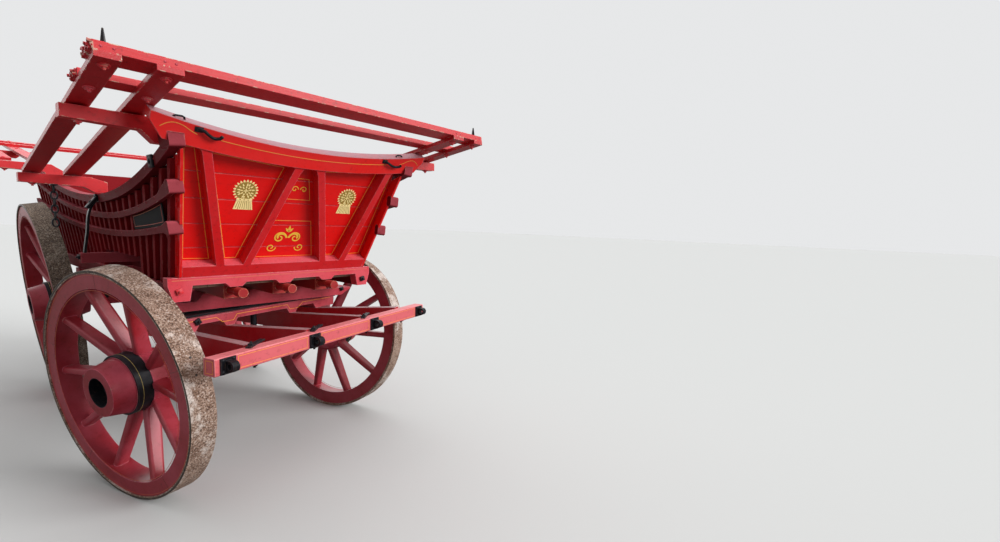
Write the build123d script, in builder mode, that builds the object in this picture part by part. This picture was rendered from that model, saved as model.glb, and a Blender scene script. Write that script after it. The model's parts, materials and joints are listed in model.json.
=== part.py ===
"""Four-wheeled farm wagon with harvest frames, a waisted body and a turning fore-carriage.

Millimetres, +Z up, front towards -Y. The pieces are drawn in the wagon's own frame: the floor is
z = 0 and the kingpin stands at x = 0, y = 0. At the end the fore-carriage is turned to its parked
angle, and everything moves together so that the origin lies on the floor under the middle of the
whole wagon's box.
"""

from build123d import *
import math
import os

# Running gear
CAMBER = 5.34                   # droop of every axle arm, degrees
PARKED_TURN = 15.4              # the fore-carriage stands turned by this, degrees
TYRE_WIDTH = 117.0
TYRE_THICK = 16.0
FELLOE_WIDTH = 105.0
FELLOE_DEPTH = 82.0
SPOKE_DEEP = 78.0               # along the axle, at the nave
SPOKE_DEEP_RIM = 60.0           # along the axle, at the felloe
SPOKE_BROAD = 44.0              # across, at the nave
SPOKE_BROAD_RIM = 40.0
SPOKE_ROUND = 14.0
DISH = 85.0                     # the spokes' feet lie this far inside the tread's middle
WHEELBASE = 1869.0
FRONT_HALF_TRACK = 762.0
HIND_HALF_TRACK = 730.0
FRONT_WHEEL_R = 610.0           # at the middle of the tread
HIND_WHEEL_R = 771.5
FRONT_SPOKES = 10
HIND_SPOKES = 12

# Nave, measured along the axle from the tread's middle, outwards positive
NAVE_OUT = 115.0
NAVE_BAND_OUT = 20.0
NAVE_BAND_IN = -50.0
NAVE_SEAT_IN = -122.0
NAVE_IN = -215.0
NAVE_FACE_R = 125.0
NAVE_SHOULDER_R = 148.0
NAVE_BAND_R = 158.0
NAVE_SEAT_R = 164.0
NAVE_BACK_R = 128.0
NAVE_MOUTH_R = 77.0
NAVE_MOUTH_DEPTH = 68.0
ARM_R = 38.0
ARM_FIT = 0.06                  # radial running clearance of the arm in its nave
ARM_TIP = 72.0
ARM_FLANGE_R = 44.0
ARM_FLANGE_THICK = 8.0
ARM_COLLAR_R = 56.0
ARM_COLLAR_THICK = 8.0
LINCH_R = 6.0
LINCH_LENGTH = 116.0
END_PLAY = 4.0                  # gap between a nave and what stands beside it

# Fore-carriage
BED_DEEP = 130.0                # both axle beds, front to back
FORE_BED_BOTTOM = 582.0
FORE_BED_TOP = 710.0
HOUND_THICK = 50.0
HOUND_TOP = 830.0               # level where they lie under the pillow
HOUND_NOSE_TOP = 873.0
HOUND_NOSE_BOTTOM = 787.0
HOUND_TAIL = 90.0
INNER_HOUND_TAIL = 470.0
INNER_HOUND_X = 234.0
INNER_HOUND_NOSE_X = 219.0
OUTER_HOUND_X = 467.0
OUTER_HOUND_NOSE_X = 597.0
PILLOW_FRONT = -95.0
PILLOW_BACK = 60.0
PILLOW_HALF = 630.0
PILLOW_TOP = 907.0
PILLOW_THIN = 866.0
PLATE_THICK = 11.0
PLATE_GAP = 1.0
PLATE_HALF = 560.0
PLATE_DEEP = 130.0
BAR_HALF = 822.0
BAR_FRONT = -783.0
BAR_THICK = 72.0
BAR_BOTTOM = 785.0
BAR_TOP = 865.0
SWAY_BAR_THICK = 34.0
SWAY_BAR_DEEP = 70.0
SWAY_BAR_HALF = 330.0
KINGPIN_R = 19.0
KINGPIN_FIT = 0.08
EYE_X = (252.0, 761.0)          # shaft eyes, each side of the middle
EYE_BORE_R = 13.5
EYE_OUTER_R = 25.0
EYE_LENGTH = 34.0
EYE_REACH = 34.0                # from the bar's face to the bore's axis
EYE_PLATE = 74.0
EYE_PLATE_THICK = 8.0

# Bed
BOLSTER_FRONT = -105.0
BOLSTER_BACK = 60.0
BOLSTER_HALF = 663.0
BOLSTER_HIGH = 97.0             # from the upper plate to the poles
BOLSTER_SEAT_HIGH = 48.0        # the seats stand up by this under the poles
POLE_BOTTOM = PILLOW_TOP + 2 * PLATE_THICK + PLATE_GAP + BOLSTER_HIGH
POLE_HIGH = 73.0
POLE_TOP = POLE_BOTTOM + POLE_HIGH
POLE_WIDE = 76.0
POLE_X = (-272.0, 0.0, 272.0)
POLE_SHOULDER = -360.0
POLE_NECK = -452.0
POLE_NOSE = -520.0
POLE_KNOB_R = 26.0
POLE_NECK_R = 19.0
SOLE_BOTTOM = 1043.0
SOLE_OUTSIDE = 571.0
SOLE_WIDE = 67.0
FLOOR_THICK = 25.0
FLOOR_BOARDS = 9
BOARD_GAP = 3.0
SILL_FRONT = -433.0
SILL_DEEP = 66.0
SILL_HALF = 593.0
SILL_TOP = 1166.0
SILL_THIN = 1122.0
FLOOR_END = 2860.0
TAIL_SILL_DEEP = 60.0
PERCH_BOTTOM = 935.0
PERCH_TOP = 1005.0
PERCH_WIDE = 90.0
HIND_BED_BOTTOM = 722.0
HIND_BED_TOP = 862.0
HIND_BOLSTER_HALF = 560.0
HIND_BOLSTER_NARROW = 492.0     # between the naves

# Waist, cut into each side so that the front wheels can turn
WAIST_START = 200.0
WAIST_END = 900.0
WAIST_HEAD = 1240.0
WAIST_DEPTH = 134.0
WAIST_RAMP = 70.0
WAIST_PANEL = 18.0
LEDGE_Y = 640.0
LEDGE_DEEP = 60.0
LEDGE_HIGH = 62.0
LEDGE_TOP = 1230.0
LEDGE_REACH = 735.0

# Sides
SIDE_FLARE = math.degrees(math.atan(0.12))
SIDE_INSIDE = 522.0             # inner face of the planks at the sill's top
PLANK = 20.0
SPINDLE_THICK = 20.0
SPINDLE_WIDE = 38.0
SPINDLE_PITCH = 116.0
SPINDLE_FIRST = -400.0          # the front-most one, at the level where the pitch is taken
SPINDLE_LEVEL = 1260.0
SPINDLE_UPRIGHT_Y = 750.0       # a spindle here stands upright
SPINDLE_FAN = 1000.0            # over this length the rake grows to the front board's lean
RAIL_THICK = 24.0
TOP_RAIL_HIGH = 48.0
MID_RAIL_HIGH = 34.0
# name: lowest, front and rear heights of the rail's upper edge, y of the lowest point
RAILS = {
    "top": (1603.0, 1839.0, 1975.0, 700.0),
    "upper": (1491.0, 1652.0, 1815.0, 560.0),
    "lower": (1386.0, 1475.0, 1600.0, 560.0),
}
RAIL_FRONT = -800.0             # where the front heights are taken
RAIL_REAR = 2990.0              # where the rear heights are taken
# name: y of the knob's front face, height of its middle, its height, length and swelling behind
KNOBS = {
    "top": (-790.0, 1819.0, 80.0, 128.0, 0.0),
    "upper": (-680.0, 1616.0, 66.0, 40.0, 160.0),
    "lower": (-575.0, 1427.0, 66.0, 34.0, 80.0),
}
KNOB_INNER = 7.0                # outwards from the planks' inner face
KNOB_OUTER = 69.0
KNOB_ROUND = 15.0
RAIL_OVERHANG = 34.0            # the rails run on past the planks at the rear
CORNER_INNER = 7.0              # the corner boards' inner face, outwards like the knobs
CHAMFER_DEEP = 6.0              # hollow chamfers along the corner boards
CHAMFER_BACK = 48.0
CHAMFER_STOP = 44.0
KNEE_REACH = 62.0
KNEE_DROP = 84.0
PLATE_START = -460.0            # the blank plate between the middle rails
PLATE_END = 70.0
SIDE_PLATE_THICK = 5.0

# Front board
BOARD_LEAN = math.degrees(math.atan(389.0 / 744.0))
TAIL_LEAN = 16.0
POST_DEEP = 64.0
POST_WIDE = 42.0
SPANDREL = 30.0
FRONT_PLANKS = 5
FRONT_RAIL_HIGH = 64.0          # lower rail of the front board
FRONT_BOARD_TOP = 700.0         # up the slope, middle of the board
HEAD_HALF = 736.0
HEAD_MIDDLE = 757.0             # up the slope, the head rail's upper edge
HEAD_END = 836.0
HEAD_HIGH = 96.0
HEAD_PROUD = 8.0
HEAD_TIP = 40.0
HEAD_NECK = (688.0, 722.0)      # where the rail's under edge turns up to its tip
HEAD_HOLLOW = (716.0, 766.0)

# Harvest frames
RAVE_THICK = 22.0
FRAME_HALF = 963.0
RAVES_INWARDS = ((258.0, 173.0), (75.0, 0.0))   # inner and outer edge, from the frame's side
FRONT_BAR_Y = -1121.0
FRONT_RAVE_END = 665.0
FRONT_RAVE_SLOPE = 9.36
FRONT_RAVE_TOP = 2013.0
HIND_BAR_Y = 3560.0
HIND_RAVE_END = 1880.0
HIND_RAVE_SLOPE = 8.6
HIND_RAVE_TOP = 2118.0
BAR_A_THICK = 32.0
BAR_A_WIDE = 110.0
BAR_B_THICK = 26.0
BAR_B_WIDE = 80.0
BAR_B_BACK = 245.0
ARM_HALF = 985.0
ARM_DEEP = 62.0
ARM_END_HIGH = 52.0
ARM_STEP = 48.0                 # the arm is full thickness this far out from its seat

FLOOR_TOP = POLE_TOP + FLOOR_THICK
RAVES = tuple((FRAME_HALF - inner, FRAME_HALF - outer) for inner, outer in RAVES_INWARDS)
FORWARD = Vector(0, -1, 0)
UP = Vector(0, 0, 1)
SIN_CAMBER = math.sin(math.radians(CAMBER))
COS_CAMBER = math.cos(math.radians(CAMBER))
TAN_CAMBER = math.tan(math.radians(CAMBER))


def upright(x, y, along):
    """A standing plane: its first axis is the level direction along, its second axis is up."""
    way = along.normalized()
    return Plane(origin=(x, y, 0), x_dir=way, z_dir=way.cross(UP))


FRONT_VIEW = upright(0, 0, Vector(1, 0, 0))        # across and up, extruded towards -Y


def across(y):
    """A standing plane across the wagon at y, facing forward."""
    return Plane(origin=(0, y, 0), x_dir=(1, 0, 0), z_dir=(0, -1, 0))


kept = {}


def keep(part, name, turned=False):
    """Label a finished piece and remember which way it is placed at the end."""
    part.label = name
    kept[name] = (part, turned)


# Wheels: drawn about their own axle, +Z outwards, z = 0 at the middle of the tread
def make_wheel(prefix, radius, spokes, hub_plane, turned):
    half_tyre = TYRE_WIDTH / 2
    half_felloe = FELLOE_WIDTH / 2
    felloe_r = radius - TYRE_THICK
    bore_r = felloe_r - FELLOE_DEPTH

    with BuildPart() as tyre:
        with BuildSketch(Plane.XZ):
            with BuildLine():
                Polyline(
                    (radius + half_tyre * TAN_CAMBER, -half_tyre),
                    (radius - half_tyre * TAN_CAMBER, half_tyre),
                    (felloe_r - half_tyre * TAN_CAMBER, half_tyre),
                    (felloe_r + half_tyre * TAN_CAMBER, -half_tyre),
                    close=True,
                )
            make_face()
        revolve(axis=Axis.Z)

    root = Vector(NAVE_SEAT_R - SPOKE_ROUND, 0, -DISH)
    foot = Vector(bore_r + SPOKE_ROUND, 0, 0)
    along = (foot - root).normalized()
    with BuildPart() as spoke:
        with BuildSketch(Plane(origin=root, x_dir=(0, 1, 0), z_dir=along)):
            RectangleRounded(SPOKE_BROAD, SPOKE_DEEP, SPOKE_ROUND)
        with BuildSketch(Plane(origin=foot, x_dir=(0, 1, 0), z_dir=along)):
            RectangleRounded(SPOKE_BROAD_RIM, SPOKE_DEEP_RIM, SPOKE_ROUND)
        loft()

    with BuildPart() as wheel:
        with BuildSketch(Plane.XZ):
            with BuildLine():
                Polyline(
                    (felloe_r + half_felloe * TAN_CAMBER, -half_felloe),
                    (felloe_r - half_felloe * TAN_CAMBER, half_felloe),
                    (bore_r, half_felloe),
                    (bore_r, -half_felloe),
                    close=True,
                )
            make_face()
        revolve(axis=Axis.Z)
        with PolarLocations(0, spokes):
            add(spoke.part)
        with BuildSketch(Plane.XY.offset(NAVE_IN)):
            Circle(NAVE_SEAT_R)
        extrude(amount=NAVE_OUT - NAVE_IN, mode=Mode.SUBTRACT)

    with BuildPart() as nave:
        with BuildSketch(Plane.XZ):
            with BuildLine():
                Polyline(
                    (ARM_R + ARM_FIT, NAVE_IN),
                    (NAVE_BACK_R, NAVE_IN),
                    (NAVE_SEAT_R - SPOKE_ROUND, NAVE_SEAT_IN - SPOKE_ROUND),
                    (NAVE_SEAT_R, NAVE_SEAT_IN),
                    (NAVE_SEAT_R, NAVE_BAND_IN),
                    (NAVE_BAND_R, NAVE_BAND_IN),
                    (NAVE_BAND_R, NAVE_BAND_OUT),
                    (NAVE_SHOULDER_R, NAVE_BAND_OUT),
                    (NAVE_FACE_R, NAVE_OUT),
                    (NAVE_MOUTH_R, NAVE_OUT),
                    (NAVE_MOUTH_R, NAVE_OUT - NAVE_MOUTH_DEPTH),
                    (ARM_R + ARM_FIT, NAVE_OUT - NAVE_MOUTH_DEPTH),
                    close=True,
                )
            make_face()
        revolve(axis=Axis.Z)

    for piece, name in ((tyre, "tyre"), (wheel, "wheel"), (nave, "nave")):
        keep(hub_plane.location * piece.part, prefix + "_" + name, turned)


def hub_plane(side, half_track, y, hub_z):
    """The wheel's own plane: its normal is the drooping axle arm, pointing outwards."""
    return Plane(
        origin=(side * half_track, y, hub_z),
        x_dir=(0, 1, 0),
        z_dir=(side * COS_CAMBER, 0, -SIN_CAMBER),
    )


def arm_pair(half_track, y, hub_z):
    """Both iron arms of an axle, each with its flange, collar and linchpin."""
    with BuildPart() as arm:
        with BuildSketch(Plane.XY.offset(NAVE_IN - END_PLAY - ARM_FLANGE_THICK)):
            Circle(ARM_FLANGE_R)
        extrude(amount=ARM_FLANGE_THICK)
        with BuildSketch(Plane.XY.offset(NAVE_IN - END_PLAY)):
            Circle(ARM_R)
        extrude(amount=ARM_TIP - NAVE_IN + END_PLAY)
        collar_z = NAVE_OUT - NAVE_MOUTH_DEPTH + END_PLAY
        with BuildSketch(Plane.XY.offset(collar_z)):
            Circle(ARM_COLLAR_R)
        extrude(amount=ARM_COLLAR_THICK)
        with BuildSketch(Plane.XZ.offset(-LINCH_LENGTH / 2)):
            with Locations((0, collar_z + ARM_COLLAR_THICK + LINCH_R - 2)):
                Circle(LINCH_R)
        extrude(amount=LINCH_LENGTH)
    right = hub_plane(1, half_track, y, hub_z).location * arm.part
    left = hub_plane(-1, half_track, y, hub_z).location * arm.part
    return Part() + [left, right]


def axle_bed(half_track, y, hub_z, bottom, top):
    """Timber bed whose ends are square to the drooping arms."""
    flange = NAVE_IN - END_PLAY - ARM_FLANGE_THICK
    end_x = half_track + flange * COS_CAMBER
    end_z = hub_z - flange * SIN_CAMBER
    low_x = end_x + (bottom - end_z) * TAN_CAMBER
    high_x = end_x + (top - end_z) * TAN_CAMBER
    with BuildPart() as bed:
        with BuildSketch(across(y + BED_DEEP / 2)):
            with BuildLine():
                Polyline((-low_x, bottom), (low_x, bottom), (high_x, top), (-high_x, top), close=True)
            make_face()
        extrude(amount=BED_DEEP)
    return bed.part


front_hub_z = FRONT_WHEEL_R * COS_CAMBER
hind_hub_z = HIND_WHEEL_R * COS_CAMBER
for side, name in ((-1, "left"), (1, "right")):
    make_wheel(
        "front_" + name, FRONT_WHEEL_R, FRONT_SPOKES,
        hub_plane(side, FRONT_HALF_TRACK, 0, front_hub_z), True,
    )
    make_wheel(
        "hind_" + name, HIND_WHEEL_R, HIND_SPOKES,
        hub_plane(side, HIND_HALF_TRACK, WHEELBASE, hind_hub_z), False,
    )
keep(arm_pair(FRONT_HALF_TRACK, 0, front_hub_z), "fore_axle_arms", True)
keep(arm_pair(HIND_HALF_TRACK, WHEELBASE, hind_hub_z), "hind_axle_arms")

# Fore-carriage, drawn straight ahead
king_hole = KINGPIN_R + KINGPIN_FIT
with BuildPart() as fore_bed:
    add(axle_bed(FRONT_HALF_TRACK, 0, front_hub_z, FORE_BED_BOTTOM, FORE_BED_TOP))
    with BuildSketch(Plane.XY.offset(FORE_BED_BOTTOM)):
        Circle(king_hole)
    extrude(amount=FORE_BED_TOP - FORE_BED_BOTTOM, mode=Mode.SUBTRACT)
keep(fore_bed.part, "fore_axle_bed", True)

pillow_bosses = (
    (OUTER_HOUND_X - HOUND_THICK / 2 + 4, PILLOW_HALF - 4),
    (INNER_HOUND_X - HOUND_THICK / 2 - 2, INNER_HOUND_X + HOUND_THICK / 2 + 2),
)
BOSS_SLOPE = 22.0
with BuildPart() as pillow:
    with BuildSketch(across(PILLOW_BACK)):
        with Locations((0, (PILLOW_TOP + PILLOW_THIN) / 2)):
            Rectangle(2 * PILLOW_HALF, PILLOW_TOP - PILLOW_THIN)
        for inner, outer in pillow_bosses:
            with BuildLine():
                Polyline(
                    (inner - BOSS_SLOPE, PILLOW_THIN), (inner, HOUND_TOP),
                    (outer, HOUND_TOP), (min(outer + BOSS_SLOPE, PILLOW_HALF), PILLOW_THIN),
                    close=True,
                )
            make_face()
        mirror(about=Plane.YZ)
    extrude(amount=PILLOW_BACK - PILLOW_FRONT)
    with BuildSketch(Plane.XY.offset(HOUND_TOP)):
        Circle(king_hole)
    extrude(amount=PILLOW_TOP - HOUND_TOP, mode=Mode.SUBTRACT)
keep(pillow.part, "fore_pillow", True)

with BuildPart() as lower_plate:
    with BuildSketch(Plane.XY.offset(PILLOW_TOP)):
        Rectangle(2 * PLATE_HALF, PLATE_DEEP)
        Circle(king_hole, mode=Mode.SUBTRACT)
    extrude(amount=PLATE_THICK)
keep(lower_plate.part, "lower_rubbing_plate", True)

bar_back = BAR_FRONT + BAR_THICK
# side of the middle, x under the pillow, x at the bar, rear end
hound_table = (
    (-1, OUTER_HOUND_X, OUTER_HOUND_NOSE_X, HOUND_TAIL),
    (-1, INNER_HOUND_X, INNER_HOUND_NOSE_X, INNER_HOUND_TAIL),
    (1, INNER_HOUND_X, INNER_HOUND_NOSE_X, INNER_HOUND_TAIL),
    (1, OUTER_HOUND_X, OUTER_HOUND_NOSE_X, HOUND_TAIL),
)
with BuildPart() as hounds:
    for side, under_x, nose_x, tail in hound_table:
        slope = side * (nose_x - under_x) / (PILLOW_FRONT - bar_back)
        way = Vector(slope, -1, 0)
        stretch = way.length
        middle = side * under_x + slope * PILLOW_FRONT
        with BuildSketch(upright(middle, 0, way)):
            with BuildLine():
                Polyline(
                    (-tail * stretch, FORE_BED_TOP),
                    (BED_DEEP / 2 * stretch, FORE_BED_TOP),
                    (-bar_back * stretch, HOUND_NOSE_BOTTOM),
                    (-bar_back * stretch, HOUND_NOSE_TOP),
                    ((12 - PILLOW_FRONT) * stretch, HOUND_TOP),
                    (-tail * stretch, HOUND_TOP),
                    close=True,
                )
            make_face()
        extrude(amount=HOUND_THICK / 2, both=True)
    with BuildSketch(across(bar_back)):
        with Locations((0, (BAR_TOP + BAR_BOTTOM) / 2)):
            Rectangle(2 * BAR_HALF, BAR_TOP)
    extrude(amount=BAR_THICK, mode=Mode.SUBTRACT)
keep(hounds.part, "hounds", True)

with BuildPart() as sway_bar:
    with BuildSketch(Plane.XY.offset(HOUND_TOP)):
        with Locations((0, INNER_HOUND_TAIL - SWAY_BAR_DEEP / 2)):
            Rectangle(2 * SWAY_BAR_HALF, SWAY_BAR_DEEP)
    extrude(amount=SWAY_BAR_THICK)
keep(sway_bar.part, "sway_bar", True)

with BuildPart() as splinter_bar:
    with BuildSketch(across(bar_back)):
        with Locations((0, (BAR_TOP + BAR_BOTTOM) / 2)):
            Rectangle(2 * BAR_HALF, BAR_TOP - BAR_BOTTOM)
    extrude(amount=BAR_THICK)
    chamfer(splinter_bar.edges().filter_by(Axis.X), length=4)
keep(splinter_bar.part, "splinter_bar", True)

bar_middle = (BAR_TOP + BAR_BOTTOM) / 2
eye_places = [side * x for x in EYE_X for side in (-1, 1)]
with BuildPart() as shaft_eyes:
    for x in eye_places:
        with BuildSketch(across(BAR_FRONT)):
            with Locations((x, bar_middle)):
                Rectangle(EYE_PLATE, EYE_PLATE)
        extrude(amount=EYE_PLATE_THICK)
        with BuildSketch(Plane.YZ.offset(x - EYE_LENGTH / 2)):
            with Locations((BAR_FRONT - EYE_REACH, bar_middle)):
                Circle(EYE_OUTER_R)
            with Locations((BAR_FRONT - EYE_REACH / 2, bar_middle)):
                Rectangle(EYE_REACH, 2 * EYE_OUTER_R)
            with Locations((BAR_FRONT - EYE_REACH, bar_middle)):
                Circle(EYE_BORE_R, mode=Mode.SUBTRACT)
        extrude(amount=EYE_LENGTH)
keep(shaft_eyes.part, "shaft_eyes", True)

# Bed of the body
upper_plate_bottom = PILLOW_TOP + PLATE_THICK + PLATE_GAP
bolster_bottom = upper_plate_bottom + PLATE_THICK
bolster_thin = POLE_BOTTOM - BOLSTER_SEAT_HIGH
with BuildPart() as upper_plate:
    with BuildSketch(Plane.XY.offset(upper_plate_bottom)):
        Rectangle(2 * PLATE_HALF, PLATE_DEEP)
        Circle(king_hole, mode=Mode.SUBTRACT)
    extrude(amount=PLATE_THICK)
keep(upper_plate.part, "upper_rubbing_plate")

BOLSTER_END_LIFT = 44.0
SEAT_HALF = 50.0
SEAT_FOOT = 92.0
with BuildPart() as fore_bolster:
    with BuildSketch(across(BOLSTER_BACK)):
        with BuildLine():
            Polyline(
                (-PILLOW_HALF + BOLSTER_END_LIFT, bolster_bottom),
                (PILLOW_HALF - BOLSTER_END_LIFT, bolster_bottom),
                (BOLSTER_HALF, bolster_thin - 4),
                (BOLSTER_HALF, bolster_thin + 4),
                (-BOLSTER_HALF, bolster_thin + 4),
                (-BOLSTER_HALF, bolster_thin - 4),
                close=True,
            )
        make_face()
        for x in POLE_X:
            with BuildLine():
                Polyline(
                    (x - SEAT_FOOT, bolster_thin), (x + SEAT_FOOT, bolster_thin),
                    (x + SEAT_HALF, POLE_BOTTOM), (x - SEAT_HALF, POLE_BOTTOM),
                    close=True,
                )
            make_face()
    extrude(amount=BOLSTER_BACK - BOLSTER_FRONT)
    with BuildSketch(Plane.XY.offset(bolster_bottom)):
        Circle(king_hole)
    extrude(amount=POLE_BOTTOM - bolster_bottom, mode=Mode.SUBTRACT)
keep(fore_bolster.part, "fore_bolster")

KINGPIN_HEAD_R = 34.0
KINGPIN_HEAD = 12.0
with BuildPart() as kingpin:
    with BuildSketch(Plane.XY.offset(FORE_BED_BOTTOM - KINGPIN_HEAD - END_PLAY)):
        Circle(KINGPIN_R)
    extrude(amount=POLE_BOTTOM - FORE_BED_BOTTOM + KINGPIN_HEAD + END_PLAY)
    with BuildSketch(Plane.XY.offset(FORE_BED_BOTTOM - KINGPIN_HEAD - END_PLAY)):
        Circle(KINGPIN_HEAD_R)
    extrude(amount=KINGPIN_HEAD)
keep(kingpin.part, "kingpin")

with BuildPart() as bed_poles:
    for x in POLE_X:
        knob_z = POLE_TOP - POLE_KNOB_R - 1
        with BuildSketch(across(FLOOR_END)):
            with Locations((x, (POLE_BOTTOM + POLE_TOP) / 2)):
                Rectangle(POLE_WIDE, POLE_TOP - POLE_BOTTOM)
        extrude(amount=FLOOR_END - POLE_SHOULDER)
        with BuildSketch(across(POLE_SHOULDER)):
            with Locations((x, knob_z)):
                Circle(POLE_KNOB_R)
        with BuildSketch(across(POLE_NECK)):
            with Locations((x, knob_z)):
                Circle(POLE_NECK_R)
        loft()
        with BuildSketch(across(POLE_NECK)):
            with Locations((x, knob_z)):
                Circle(POLE_KNOB_R)
        extrude(amount=POLE_NECK - POLE_NOSE)
keep(bed_poles.part, "bed_poles")

sole_inside = SOLE_OUTSIDE - SOLE_WIDE
waist_outside = SOLE_OUTSIDE - WAIST_DEPTH
sill_back = SILL_FRONT + SILL_DEEP


def plan_outline(outside, start, end):
    """Plan of half the bed: straight at outside, stepped in at the waist."""
    return [
        (outside, start), (outside, WAIST_START),
        (outside - WAIST_DEPTH, WAIST_START + WAIST_RAMP),
        (outside - WAIST_DEPTH, WAIST_END - WAIST_RAMP),
        (outside, WAIST_END), (outside, end),
    ]


with BuildPart() as soles:
    with BuildSketch(Plane.XY.offset(SOLE_BOTTOM)):
        with BuildLine():
            outer_edge = plan_outline(SOLE_OUTSIDE, sill_back, FLOOR_END)
            inner_edge = plan_outline(sole_inside, sill_back, FLOOR_END)
            Polyline(*outer_edge, *reversed(inner_edge), close=True)
        make_face()
    extrude(amount=FLOOR_TOP - SOLE_BOTTOM)
    mirror(about=Plane.YZ)
keep(soles.part, "soles")

with BuildPart() as floor_boards:
    with BuildSketch(Plane.XY.offset(POLE_TOP)):
        with BuildLine():
            right_edge = plan_outline(sole_inside, sill_back, FLOOR_END)
            left_edge = [(-x, y) for x, y in reversed(right_edge)]
            Polyline(*right_edge, *left_edge, close=True)
        make_face()
        board_pitch = 2 * sole_inside / FLOOR_BOARDS
        for number in range(1, FLOOR_BOARDS):
            seam_x = -sole_inside + number * board_pitch
            with Locations((seam_x, (sill_back + FLOOR_END) / 2)):
                Rectangle(BOARD_GAP, FLOOR_END - sill_back, mode=Mode.SUBTRACT)
    extrude(amount=FLOOR_THICK)
keep(floor_boards.part, "floor_boards")

END_BOSS = 72.0
POLE_BOSS_HALF = 32.0
with BuildPart() as front_sill:
    with BuildSketch(across(sill_back)):
        with Locations((0, (SILL_TOP + SILL_THIN) / 2)):
            Rectangle(2 * SILL_HALF, SILL_TOP - SILL_THIN)
        for x in POLE_X:
            with BuildLine():
                Polyline(
                    (x - POLE_BOSS_HALF - BOSS_SLOPE, SILL_THIN), (x - POLE_BOSS_HALF, POLE_TOP),
                    (x + POLE_BOSS_HALF, POLE_TOP), (x + POLE_BOSS_HALF + BOSS_SLOPE, SILL_THIN),
                    close=True,
                )
            make_face()
        for side in (-1, 1):
            outer = side * (SILL_HALF - 24)
            inner = side * (SILL_HALF - 24 - END_BOSS)
            with BuildLine():
                Polyline(
                    (inner - side * 14, SILL_THIN), (inner, SOLE_BOTTOM),
                    (outer, SOLE_BOTTOM), (side * SILL_HALF, SILL_THIN),
                    close=True,
                )
            make_face()
    extrude(amount=SILL_DEEP)
keep(front_sill.part, "front_sill")

with BuildPart() as tail_sill:
    with BuildSketch(across(FLOOR_END + TAIL_SILL_DEEP)):
        with Locations((0, (SILL_TOP + SOLE_BOTTOM) / 2)):
            Rectangle(2 * SIDE_INSIDE + 2 * PLANK, SILL_TOP - SOLE_BOTTOM)
    extrude(amount=TAIL_SILL_DEEP)
keep(tail_sill.part, "tail_sill")

with BuildPart() as perch:
    with BuildSketch(across(WHEELBASE - BED_DEEP / 2)):
        with Locations((0, (PERCH_TOP + PERCH_BOTTOM) / 2)):
            Rectangle(PERCH_WIDE, PERCH_TOP - PERCH_BOTTOM)
    extrude(amount=WHEELBASE - BED_DEEP / 2 - BOLSTER_BACK)
keep(perch.part, "perch")

keep(axle_bed(HIND_HALF_TRACK, WHEELBASE, hind_hub_z, HIND_BED_BOTTOM, HIND_BED_TOP), "hind_axle_bed")
with BuildPart() as hind_bolster:
    with BuildSketch(across(WHEELBASE + BED_DEEP / 2)):
        with BuildLine():
            Polyline(
                (0, HIND_BED_TOP), (HIND_BOLSTER_NARROW, HIND_BED_TOP),
                (HIND_BOLSTER_NARROW, POLE_BOTTOM - 82), (HIND_BOLSTER_HALF, POLE_BOTTOM - 36),
                (HIND_BOLSTER_HALF, POLE_BOTTOM), (0, POLE_BOTTOM),
                close=True,
            )
        make_face()
        mirror(about=Plane.YZ)
    extrude(amount=BED_DEEP)
keep(hind_bolster.part, "hind_bolster")

# Sides: drawn on the flared plane of the right side, then mirrored
COS_FLARE = math.cos(math.radians(SIDE_FLARE))
SIN_FLARE = math.sin(math.radians(SIDE_FLARE))
TAN_LEAN = math.tan(math.radians(BOARD_LEAN))
TAN_TAIL = math.tan(math.radians(TAIL_LEAN))


def side_plane(outwards):
    """The flared side, outwards from the planks' inner face: first axis +Y, second axis up."""
    return Plane(
        origin=(SIDE_INSIDE, 0, SILL_TOP), x_dir=(0, 1, 0), z_dir=(COS_FLARE, 0, -SIN_FLARE)
    ).offset(outwards)


def on_side(y, z):
    return (y, (z - SILL_TOP) / COS_FLARE)


def swept(rail, y, below=0.0):
    """Height of a rail's upper edge at y, less below: two arcs that are level where they meet."""
    low, front, rear, lowest_y = RAILS[rail]
    if y < lowest_y:
        reach, rise = lowest_y - RAIL_FRONT, front - low
    else:
        reach, rise = RAIL_REAR - lowest_y, rear - low
    radius = (reach * reach + rise * rise) / (2 * rise)
    return low + radius - math.sqrt(radius * radius - (y - lowest_y) ** 2) - below


def one_arc(rail, first, last, below):
    middle = (first + last) / 2
    ThreePointArc(*[on_side(y, swept(rail, y, below)) for y in (first, middle, last)])


def sweep_arcs(rail, start, end, below):
    """The two arcs of a swept edge from start to end, in the side's plane."""
    lowest_y = RAILS[rail][3]
    one_arc(rail, start, lowest_y, below)
    one_arc(rail, lowest_y, end, below)


board_deep = POST_DEEP + PLANK
planks_front = SILL_FRONT + board_deep / math.cos(math.radians(BOARD_LEAN)) + 4
PLANK_FOOT = FLOOR_TOP + 7
plank_inside = SIDE_INSIDE - (SILL_TOP - FLOOR_TOP) * SIN_FLARE / COS_FLARE - 1


def front_edge(z):
    """The planks of a side start behind the leaning front board."""
    return planks_front - (z - SILL_TOP) * TAN_LEAN


def rear_edge(z):
    return FLOOR_END + (z - SILL_TOP) * TAN_TAIL


def meet(rail, below, edge, y):
    """Where a swept edge crosses the front or rear end of the side."""
    for _ in range(20):
        y = edge(swept(rail, y, below))
    return y


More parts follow.
